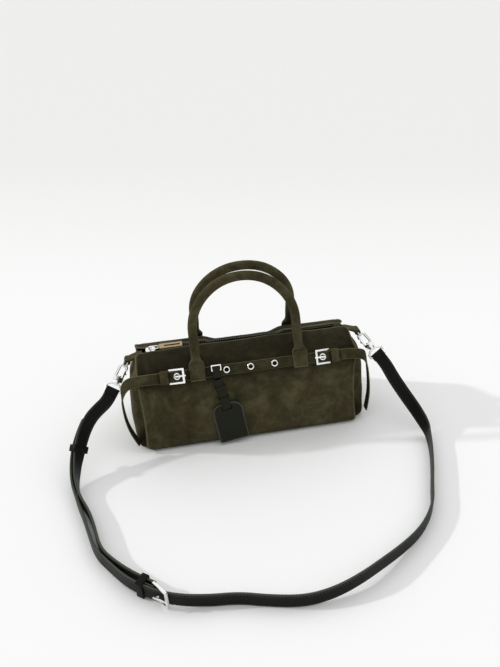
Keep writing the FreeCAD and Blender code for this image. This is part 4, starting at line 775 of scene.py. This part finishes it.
def handle_roll(name, line, outs, flare):
    """A roll along a line that goes flat and wide at both feet; flare lifts the wide part, in millimetres."""
    gone = run_lengths(line)
    shape = bmesh.new()
    mark = shape.verts.layers.float.new("edge")
    shade = shape.verts.layers.float.new("shade")
    rings = []
    for index, point in enumerate(line):
        along = along_at(line, index)
        out = squared_to(outs[index], along)
        across = along.cross(out)
        from_foot = min(gone[index], gone[-1] - gone[index]) / MM
        level = from_foot - TAB_REACH
        rim = math.sqrt(max(0.02, 1 - (1 - min(from_foot / 1.1, 1)) ** 2))
        wide, deep = between(HALF_WIDTHS, level - flare), between(HALF_DEPTHS, level - flare) * rim
        power = 2 / between(SQUARENESS, level)
        centre = point + out * (max(0, deep - 1) * between(LEAF_LIFT, level) * MM)
        wobble = (1 + 0.02 * noise.noise(point * 60)) * MM
        ring = []
        for step in range(ROLL_SIDES):
            turn = 2 * math.pi * step / ROLL_SIDES
            c, s = math.cos(turn), math.sin(turn)
            x, y = wide * math.copysign(abs(c) ** power, c), deep * math.copysign(abs(s) ** power, s)
            vertex = shape.verts.new(centre + across * (x * wobble) + out * (y * wobble))
            # The leaf's sides take the paler edge colour, part wear, part painted highlight; painted shade where the
            # roll leaves the leaf, and a darker tone higher up.
            vertex[mark] = max(0, 1 - from_foot / 1.6, 0.8 if level < 17 and abs(c) > 0.985 else 0)
            vertex[shade] = 0.35 * hump(level, 14, 1.1) + 0.14 * rise_between(level, 20, 30)
            ring.append(vertex)
        rings.append(ring)
    add_skin(shape, rings)
    bmesh.ops.recalc_face_normals(shape, faces=shape.faces)
    piece = shape_object(name, shape, olive_suede)
    smooth_up_to(60)
    return piece


# Sewing thread: a plain dull olive, a little lighter than the suede, so that the seams just show.
olive_thread, *_ = new_material("olive_sewing_thread", {"Base Color": hex_colour("#565139"), "Roughness": 0.7})
FOOT_SEAM = ((-8.4, -0.8), (-8.4, -8.6), (8.4, -8.6), (8.4, -0.8), (-8.4, -0.8))
for side, angle, lift, foot_out, flare in (("front", 0, 5.5, 3.5 * MM, 0), ("back", math.pi, 1.3, 0, 4)):
    turn = Matrix.Rotation(angle, 3, "Z")
    tab_at = BELT_AT + BELT_OUT * (lift * MM) - Vector((HANDLE_SHIFT, 0, 0))
    hinge = tab_at + BELT_UP * HINGE_UP
    route = handle_route(tab_at, hinge, foot_out)
    line = route_line([turn @ place for place, _ in route], 30)
    handle = handle_roll(f"{side}_handle_roll", line, spread([turn @ out for _, out in route], len(line)), flare)
    rows = []
    for foot_x in (-HALF_SPAN, HALF_SPAN + foot_out):
        seam_at = tab_at + BELT_OUT * (1.65 * MM) + Vector((foot_x, 0, 0))
        corners = [(turn @ (seam_at + BELT_UP * (up * MM) + Vector((x * MM, 0, 0))), turn @ BELT_OUT)
                   for x, up in FOOT_SEAM]
        rows += zip(corners, corners[1:])
    handle = join(handle, stitch_rows(f"{side}_handle_stitches", rows, 2.4, 1.8, 0.28, olive_thread))
    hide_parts(f"{side}_handle", f"{side}_handle_core", f"{side}_left_handle_tab",
                f"{side}_right_handle_tab")
    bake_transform(handle)


# Belt: one suede strip across the front, through a buckle and a keeper on each side, with pressed nickel
# eyelets.  Its two ends hang loose beside the gussets.
def strap_frames(line, sides):
    """Place, width direction and face direction at each point of a strap's line."""
    frames = []
    for index, point in enumerate(line):
        along = along_at(line, index)
        side = squared_to(sides[index], along)
        frames.append((point, side, along.cross(side)))
    return frames


STRAP_ROUND, STRAP_FLAT = 0.42, 1.1


def strap_mesh(name, frames, width, thick, material, half_widths=None):
    """A flat strap with rounded edges."""
    radius = thick * STRAP_ROUND
    outline = []
    for quarter, (x_sign, y_sign) in enumerate(((1, 1), (-1, 1), (-1, -1), (1, -1))):
        turns = [math.radians(90 * quarter + 30 * step) for step in range(4)]
        corner = [(x_sign, (thick / 2 - radius) * y_sign + radius * math.sin(turn),
                   radius * (math.cos(turn) - x_sign)) for turn in turns]
        flat = [(x_sign, thick / 2 * y_sign, -STRAP_FLAT * thick * x_sign)]
        outline += corner + flat if quarter % 2 == 0 else flat + corner
    shape = bmesh.new()
    rings = []
    for index, (point, side, face) in enumerate(frames):
        half = half_widths[index] if half_widths else width / 2
        rings.append([shape.verts.new(point + side * (x_sign * half + inset) + face * lift)
                      for x_sign, lift, inset in outline])
    add_skin(shape, rings)
    bmesh.ops.recalc_face_normals(shape, faces=shape.faces)
    piece = shape_object(name, shape, material)
    smooth_up_to(50)
    return piece


def mark_strap(piece, frames, width, thick, inside=0.0, dark=None):
    """Mark a strap's narrow sides, its black back and its painted shade as attributes of its points."""
    places = kdtree.KDTree(len(frames))
    for index, (point, _, _) in enumerate(frames):
        places.insert(point, index)
    places.balance()
    mesh = piece.data
    layers = [mesh.attributes.new(name, "FLOAT", "POINT") for name in ("edge", "inside", "shade")]
    for vertex in mesh.vertices:
        point, side, face = frames[places.find(vertex.co)[1]]
        across, lift = abs((vertex.co - point).dot(side)), (vertex.co - point).dot(face)
        on_edge = rise_between(across, width / 2 - 0.4 * thick, width / 2 - 0.12 * thick)
        behind = 1.0 if lift * inside > 0.15 * thick else 0.0
        values = (on_edge * (1 - behind), behind, dark(vertex.co) if dark else 0.0)
        for layer, value in zip(layers, values):
            layer.data[vertex.index].value = value


def on_belt(x, lift):
    """A point of the belt's plane, lifted off the panel, from millimetres."""
    return BELT_AT + BELT_OUT * (lift * MM) + Vector((x * MM, 0, 0))


TAG_X = -47
BELT_NEIGHBOURS = [(foot, 12) for foot in FEET_X] + [(TAG_X, 7.5), (-117, 6.8), (117, 6.8), (-86.5, 0), (86.5, 0)]


def belt_painted_shade(place):
    """Painted shade on the belt along its sides and beside what crosses it or holds it."""
    x, up = place.x / MM, abs((place - BELT_AT).dot(BELT_UP)) / MM
    sides = 0.9 * rise_between(up, 5.9, 6.8) * (1 - rise_between(abs(x), 80, 90))
    return max(sides, *(0.9 * hump(abs(x - middle), reach, 2.2) for middle, reach in BELT_NEIGHBOURS))


# Pressed suede: the same skin, darker and flatter, so that the belt stands off the panels.
trim_suede = suede("pressed_olive_suede", "#272515", "#3a3723", "#524e37", "#6a664b")
BELT_WIDTH, BELT_THICK, BELT_LIFT, BUCKLED_LIFT = 14.5 * MM, 2 * MM, 3.2, 6.8
left_tail = ((-161.5, -54.1, 11.4), (-171, -47.6, 28), (-176, -43.5, 50), (-177, -42.5, 74), (-175, -44.1, 93),
             (-168.5, -46.5, 105.6), (-158, -47.4, 110.5))
left_turns = 3 * [(0, 1, 0)] + [(0, 1, 0.1), (-0.2, 0.85, 0.5), (-0.2, 0.62, 0.75), (0, 0.5, 0.87)]
right_tail = ((152, -47.4, 107.8), (160.5, -46, 103.2), (165, -44.1, 92), (168, -43, 74), (170.5, -43.5, 50),
              (170, -45, 30), (166, -48, 11))
right_turns = [(0, 0.5, 0.87), (0.2, 0.62, 0.75), (0.2, 0.85, 0.4), (0.14, 0.98, 0.1)] + 3 * [(0.12, 0.99, 0)]
crossing = [on_belt(x, BELT_LIFT if abs(x) < 100 else BUCKLED_LIFT) for x in (-130, -107, -86, 86, 107, 130)]
belt_points = [Vector(point) * MM for point in left_tail] + crossing + [Vector(point) * MM for point in right_tail]
belt_turns = left_turns + len(crossing) * [BELT_UP] + right_turns
belt_line = route_line(belt_points, 14)
belt_frames = strap_frames(belt_line, spread([Vector(turn).normalized() for turn in belt_turns], len(belt_line)))
belt_face = 1 if belt_frames[len(belt_frames) // 2][2].dot(BELT_OUT) > 0 else -1
belt = strap_mesh("belt_suede", belt_frames, BELT_WIDTH, BELT_THICK, trim_suede)

HOLE_RADIUS, EYELET_RADIUS, EYELET_WIRE, EYELET_HEIGHT = 3.3 * MM, 3.8 * MM, 1.2 * MM, 1.38
PRONG_HOLE_X, PRONG_HOLE_LIFT, belt_slope = 100, 5.6, math.atan(0.1714)
eyelet_spots = [(on_belt(x, BELT_LIFT), BELT_OUT) for x in (-33, 0, 33)]
for way in (-1, 1):
    tipped = BELT_OUT * math.cos(belt_slope) - Vector((way * math.sin(belt_slope), 0, 0))
    eyelet_spots.append((on_belt(way * PRONG_HOLE_X, PRONG_HOLE_LIFT), tipped))
rings = []
for spot, out in eyelet_spots:
    facing = out.to_track_quat("Z", "Y").to_euler()
    bpy.ops.object.select_all(action="DESELECT")
    bpy.ops.mesh.primitive_cylinder_add(vertices=40, radius=HOLE_RADIUS, depth=8 * MM, location=spot, rotation=facing)
    punch = bpy.context.object
    apply_modifier(belt, "BOOLEAN", object=punch, operation="DIFFERENCE", solver="EXACT")
    bpy.data.objects.remove(punch)
    bpy.ops.mesh.primitive_torus_add(major_radius=EYELET_RADIUS, minor_radius=EYELET_WIRE, major_segments=40,
                                     minor_segments=14, location=spot, rotation=facing)
    ring = bpy.context.object
    ring.scale = (1, 1, EYELET_HEIGHT)
    bpy.ops.object.transform_apply(location=True, rotation=True, scale=True)
    bpy.ops.object.shade_smooth()
    ring.data.materials.append(nickel)
    rings.append(ring)
eyelets = join(*rings)
eyelets.name = "belt_eyelets_metal"
settle(eyelets, "bag", "nickel", "belt_eyelets")
mark_strap(belt, belt_frames, BELT_WIDTH, BELT_THICK, -belt_face, belt_painted_shade)
settle(belt, "bag", "olive_suede", "belt")


# Belt buckles: a square nickel frame with a short prong on each side, held by a folded suede strap that is
# sewn to the panel, and a suede keeper outside it for the belt's end.
def flat_shape(name, outlines, thick, soften, place, right, up, material):
    """A flat plate with rounded rims from outlines in millimetres; the later ones are holes."""
    plan = bpy.data.curves.new(name, "CURVE")
    plan.dimensions, plan.fill_mode = "2D", "BOTH"
    plan.extrude, plan.bevel_depth, plan.offset = (thick / 2 - soften) * MM, soften * MM, -soften * MM
    plan.bevel_resolution = 3
    for outline in outlines:
        add_spline(plan, "POLY", [(x * MM, y * MM, 0) for x, y in outline], True)
    mesh = curve_mesh(plan)
    mesh.transform(Matrix((right, up, right.cross(up))).transposed().to_4x4())
    mesh.transform(Matrix.Translation(place))
    piece = new_object(name, mesh, material)
    smooth_up_to(35)
    return piece


def round_corner(x, y, radius, start, steps):
    """Points of a quarter circle round a centre, from a start in degrees."""
    turns = [math.radians(start + 90 * step / steps) for step in range(steps + 1)]
    return [(x + radius * math.cos(turn), y + radius * math.sin(turn)) for turn in turns]


def round_box(low_x, high_x, low_y, high_y, radius):
    """Outline of a box with rounded corners, in millimetres."""
    left, right, low, high = low_x + radius, high_x - radius, low_y + radius, high_y - radius
    return [point for x, y, start in ((right, low, -90), (right, high, 0), (left, high, 90), (left, low, 180))
            for point in round_corner(x, y, radius, start, 6)]


HEEL_X, HEEL_LIFT, HEEL_WIDE = 109.5, 2.9, 2.4
BAR_X, BAR_LIFT, BAR_WIDE, BAR_OUT = 91, 6.67, 3.2, 1.4
FRAME_HALF, FRAME_SIDE, FRAME_THICK = 10.3, 2.6, 2.2
for hand, way in HANDS:
    heel, bar = on_belt(way * HEEL_X, HEEL_LIFT), on_belt(way * BAR_X, BAR_LIFT)
    inward, reach = (bar - heel).normalized(), (bar - heel).length / MM + BAR_OUT
    opening = FRAME_HALF - FRAME_SIDE
    outlines = (round_box(-HEEL_WIDE / 2, reach, -FRAME_HALF, FRAME_HALF, 1),
                round_box(HEEL_WIDE / 2, reach - BAR_WIDE, -opening, opening, 0.4))
    buckle = flat_shape(f"{hand}_buckle_metal", outlines, FRAME_THICK, 0.35, heel, inward, BELT_UP, nickel)
    settle(buckle, "bag", "nickel", f"{hand}_buckle_frame")
    settle_eased(f"{hand}_buckle_prong", 0.35, nickel, f"{hand}_prong", "nickel")
    settle_eased(f"{hand}_buckle_anchor", 0.3, trim_suede, "bag", "olive_suede")
    settle_eased(f"{hand}_belt_keeper", 0.8, olive_suede, "bag", "olive_suede")


# Tag: a stitched dark leather label on a doubled strap with two keepers.  The strap hangs from a loop round
# the belt, which has a small nickel buckle on it.
def calf_leather(name, dark, light, inked_and_highlit_edge, shine):
    """Smooth leather with a fine grain; an attribute marks its edges, painted paler as part ink and part painted
    highlight.
    """
    material, shader, place = new_material(name, {"Specular IOR Level": shine})
    pebbles = add_node(shader.id_data, "ShaderNodeTexVoronoi", {"Scale": 1 / (1.1 * MM)}, {"Vector": place})
    cloud = grain(place, 26, Detail=3.0)
    calf = mix_colours(cloud, dark, light)
    feed(shader, "Base Color", mix_colours(marked(shader, "edge"), calf, inked_and_highlit_edge))
    feed(shader, "Roughness", remap(cloud, 0, 1, 0.36, 0.52))
    relief(shader, pebbles.outputs["Distance"], 0.22, 0.12)
    return material


def waxed_thread(name, dark, light):
    """Twisted thread of two near tones."""
    material, shader, place = new_material(name, {"Roughness": 0.6})
    feed(shader, "Base Color", mix_colours(grain(place, 0.5), dark, light))
    return material


# Calf leather: nearly black with a low gloss and paler edges, part ink and part painted highlight, which draw the
# strap's outline.
black_leather = calf_leather("smooth_black_calf_leather", "#0b0d0a", "#161814", "#464941", 0.09)
# Tag leather: a dark olive of the same make, so that the tag reads apart from the strap.
tag_leather = calf_leather("smooth_dark_olive_leather", "#1b1d13", "#23251a", "#54564b", 0.12)
# Waxed thread: black on the tag, where the seam is a fine groove, and grey on the strap, where it is a dotted line.
black_thread = waxed_thread("waxed_black_thread", "#080807", "#161614")
grey_thread = waxed_thread("waxed_grey_thread", "#2e302a", "#474940")

settle_eased("zip_end_tab", 0.35, black_leather, "bag", "tag_leather")
across_bag = Vector((1, 0, 0))
tag_loop = eased_copy("tag_loop", 0.35, tag_leather)
front_ply = flat_shape("tag_loop_front", (round_box(-5, 5, -9, 5.6, 0.8),), 1.3, 0.3, on_belt(TAG_X, 7.2), across_bag,
                       BELT_UP, tag_leather)
settle(join(tag_loop, front_ply), "bag", "tag_leather", "tag_loop")
buckle_plan = (round_box(-6.9, 6.9, 0.2, 8.6, 0.8), round_box(-5.4, 5.4, 1.8, 6.9, 0.4))
tag_buckle = flat_shape("tag_buckle_metal", buckle_plan, 1.2, 0.25, on_belt(TAG_X, 6.5), across_bag, BELT_UP, nickel)
settle(tag_buckle, "bag", "nickel", "tag_buckle")
settle_eased("tag_hanger", 0.4, tag_leather, "tag_hanger", "tag_leather")
settle_eased("tag_keepers", 0.35, tag_leather, "tag_hanger", "tag_leather")

TAG_AT = Vector((-37.561, -59.368, 55.883)) * MM
tag_up, tag_out = Vector((-0.13917, 0.17443, 0.97478)), Vector((0, -0.98436, 0.17615))
tag_right = tag_up.cross(tag_out)
TAG_HALF, TAG_TOP, TAG_LOW, TAG_ROUND, TAG_FOOT_ROUND, TAG_THICK = 20.4, 7.4, -50.5, 13, 1.5, 2.4
RIM_INSET, RIM_RADIUS, RIM_OUT, SEAM_INSET = 0.6, 0.8, 0.55, 2.3


def tag_outline(inset):
    """Outline of the tag in millimetres, with round upper and nearly square lower corners."""
    upper, lower = TAG_HALF - TAG_ROUND, TAG_HALF - TAG_FOOT_ROUND
    top, low = TAG_TOP - TAG_ROUND, TAG_LOW + TAG_FOOT_ROUND
    corners = ((lower, low, TAG_FOOT_ROUND, -90), (upper, top, TAG_ROUND, 0), (-upper, top, TAG_ROUND, 90),
               (-lower, low, TAG_FOOT_ROUND, 180))
    return [point for x, y, radius, start in corners for point in round_corner(x, y, radius - inset, start, 8)]


def on_tag(inset, lift):
    """The tag's outline as places, set in from its edge and lifted off its middle, from millimetres."""
    return [TAG_AT + tag_right * (x * MM) + tag_up * (y * MM) + tag_out * (lift * MM) for x, y in tag_outline(inset)]


tag_slot = round_box(-7, 7, -2.3, 2.3, 0.6)
tag = flat_shape("tag_label", (tag_outline(0), tag_slot), TAG_THICK, 0.45, TAG_AT, tag_right, tag_up, tag_leather)
# A bead round the tag's face in the paler edge colour, part ink and part painted highlight.
rim = bpy.data.curves.new("tag_rim", "CURVE")
rim.dimensions, rim.bevel_depth, rim.bevel_resolution = "3D", RIM_RADIUS * MM, 2
add_spline(rim, "POLY", on_tag(RIM_INSET, RIM_OUT), True)
rim_mesh = curve_mesh(rim)
for value in rim_mesh.attributes.new("edge", "FLOAT", "POINT").data:
    value.value = 1.0
settle(join(tag, new_object("tag_rim_inked_and_highlit", rim_mesh, tag_leather)), "tag", "tag_leather", "tag")
rows = []
for face in (1, -1):
    seam = on_tag(SEAM_INSET, face * TAG_THICK / 2)
    rows.append([(place, tag_out * face) for place in seam + seam[:1]])
settle(stitch_rows("tag_stitches", rows, 2.6, 2.2, 0.38, black_thread), "tag", "tag_leather")


# Ends: a suede tab rolled round each D-ring's bar and sewn under the zip's end, and a nickel snap hook with its
# sprung gate and swivel, whose loop holds the folded end of the shoulder strap.
for hand, _ in HANDS:
    settle_eased(f"{hand}_ring_tab", 1.1, olive_suede, "bag", "olive_suede")
    for node, ease, body in (("d_ring", 0, "clip"), ("swivel", 0.2, "clip"), ("hook", 0.4, "hook"),
                             ("hook_gate", 0.3, "gate")):
        settle_eased(f"{hand}_{node}", ease, nickel, f"{hand}_{body}", "nickel")
    settle_eased(f"{hand}_strap_fold", 0.4, black_leather, f"{hand}_clip", "black_leather")


# Shoulder strap: a flat strap of smooth black leather with paler edges, part ink and part painted highlight, sewn
# along both sides.  It is clipped to both ends of the bag, stands on its edge on the floor and is joined by a prong
# buckle.
STRAP_WIDTH, STRAP_THICK, EDGE_LIFT, SEAM_MARGIN = 18 * MM, 3 * MM, 9.2, 2.2 * MM
FOLD_REACH, FOLD_MIDDLE, FOLD_RADIUS, TIP_REACH = -17, 3.2, 2.35, 7 * MM
strap_heel = Vector((-150.5, -294, 12.5)) * MM
strap_way, strap_out, upright = Vector((0.8, -0.6, 0)), Vector((-0.6, -0.8, 0)), Vector((0, 0, 1))
left_side, right_side = Vector((-0.8446, 0.2691, 0.4628)), Vector((0.8446, 0.2691, 0.4628))


def edge_rows(frames):
    """Rows for stitches along both sides of a strap, on both faces."""
    return [[(point + side * (side_sign * (STRAP_WIDTH / 2 - SEAM_MARGIN)) + face * (face_sign * STRAP_THICK / 2),
              face * face_sign) for point, side, face in frames]
            for face_sign in (1, -1) for side_sign in (1, -1)]


def standing(points):
    """Chosen points, from millimetres, with those on the floor lifted until the strap stands on its edge."""
    return [Vector((x, y, max(z, EDGE_LIFT))) * MM for x, y, z in points]


def on_strap_buckle(along, lift):
    """A point beside the strap buckle's heel bar, from millimetres."""
    return strap_heel + strap_way * (along * MM) + strap_out * (lift * MM)


def turned_up(side, shares):
    """Width directions of a strap that turns from one side until it stands upright."""
    return [side.lerp(upright, share).normalized() for share in shares]


def leather_strap(name, frames, thick, half_widths=None):
    """A piece of the shoulder strap with its paler edges marked, part ink and part painted highlight."""
    piece = strap_mesh(name, frames, STRAP_WIDTH, thick, black_leather, half_widths)
    mark_strap(piece, frames, STRAP_WIDTH, thick)
    return piece


short_points = standing((
    (-191.5, -27.9, 83.2), (-197.6, -34.5, 76), (-209, -40, 70), (-222, -47, 61), (-233.4, -64, 47.5),
    (-242.6, -89, 25), (-245, -116, 10.2), (-238, -143, 0), (-225.5, -170, 0), (-217.5, -199, 0), (-211, -229, 0),
    (-197.5, -249, 0)))
short_points += [on_strap_buckle(-28, 0), on_strap_buckle(0, 0)]
short_sides = turned_up(left_side, (0, 0, 0.15, 0.3, 0.5, 0.75, 0.92) + 7 * (1,))
short_line = route_line(short_points)
short_frames = strap_frames(short_line, spread(short_sides, len(short_line)))
short_strap = leather_strap("short_strap_leather", short_frames, STRAP_THICK)
fold_line = [on_strap_buckle(FOLD_REACH, FOLD_MIDDLE - FOLD_RADIUS)]
for step in range(13):
    turn = math.pi * step / 12
    fold_line.append(on_strap_buckle(FOLD_RADIUS * math.sin(turn), FOLD_MIDDLE - FOLD_RADIUS * math.cos(turn)))
fold_line.append(on_strap_buckle(FOLD_REACH, FOLD_MIDDLE + FOLD_RADIUS))
turned_back = leather_strap("short_strap_fold", strap_frames(fold_line, [upright] * len(fold_line)), STRAP_THICK / 2)

long_points = standing((
    (191.5, -27.9, 83.2), (197.6, -34.5, 76), (202.5, -53, 64), (212, -71.5, 48), (224.5, -93, 29),
    (231.5, -112, 14.5), (229.5, -128, 0), (221, -154, 0), (207, -188, 0), (193, -218, 0), (182.5, -243, 0),
    (167, -264, 0), (147, -283, 0), (119, -301, 11), (89, -317.5, 14), (61, -331, 15), (32, -338.5, 11.5),
    (0, -340.5, 0), (-36, -332.5, 0), (-66, -322.5, 0), (-98, -319, 0)))
long_points += [on_strap_buckle(30, 3.1), on_strap_buckle(3, 8.5), on_strap_buckle(-30, 8.5)]
long_points += standing((
    (-201.6, -252.2, 0), (-216.6, -231.2, 0), (-225.3, -200.9, 0), (-233, -172.8, 0), (-242.2, -144.5, 0),
    (-249.2, -116.1, 9.5), (-246.4, -87.4, 23.9), (-235.8, -61.2, 45.6), (-223.3, -42.7, 59.3)))
long_sides = turned_up(right_side, (0, 0, 0.15, 0.35, 0.6, 0.8, 0.92) + 14 * (1,))
long_sides += turned_up(left_side, 8 * (1,) + (0.92, 0.75, 0.5, 0.3))
long_line = route_line(long_points)
long_frames = strap_frames(long_line, spread(long_sides, len(long_line)))
gone = run_lengths(long_line)
to_tip = [min((gone[-1] - distance) / TIP_REACH, 1) for distance in gone]
tip_widths = [STRAP_WIDTH / 2 * math.sqrt(max(0.12, 1 - (1 - share) ** 2)) for share in to_tip]
long_strap = leather_strap("long_strap_leather", long_frames, STRAP_THICK, tip_widths)
for strap, node, sewn_frames in ((short_strap, "short_strap", short_frames[3:-3]),
                                 (long_strap, "long_strap", long_frames[3:-12])):
    join(strap, stitch_rows(f"{node}_stitches", edge_rows(sewn_frames), 3.6, 2.7, 0.36, grey_thread))
    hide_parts(node)
join(short_strap, turned_back)
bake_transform(short_strap)
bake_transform(long_strap)
settle_eased("strap_buckle_frame", 0.5, nickel, "bag", "nickel")
settle_eased("strap_buckle_prong", 0.4, nickel, "strap_prong", "nickel")
settle_eased("strap_keepers", 1, black_leather, "bag", "black_leather")
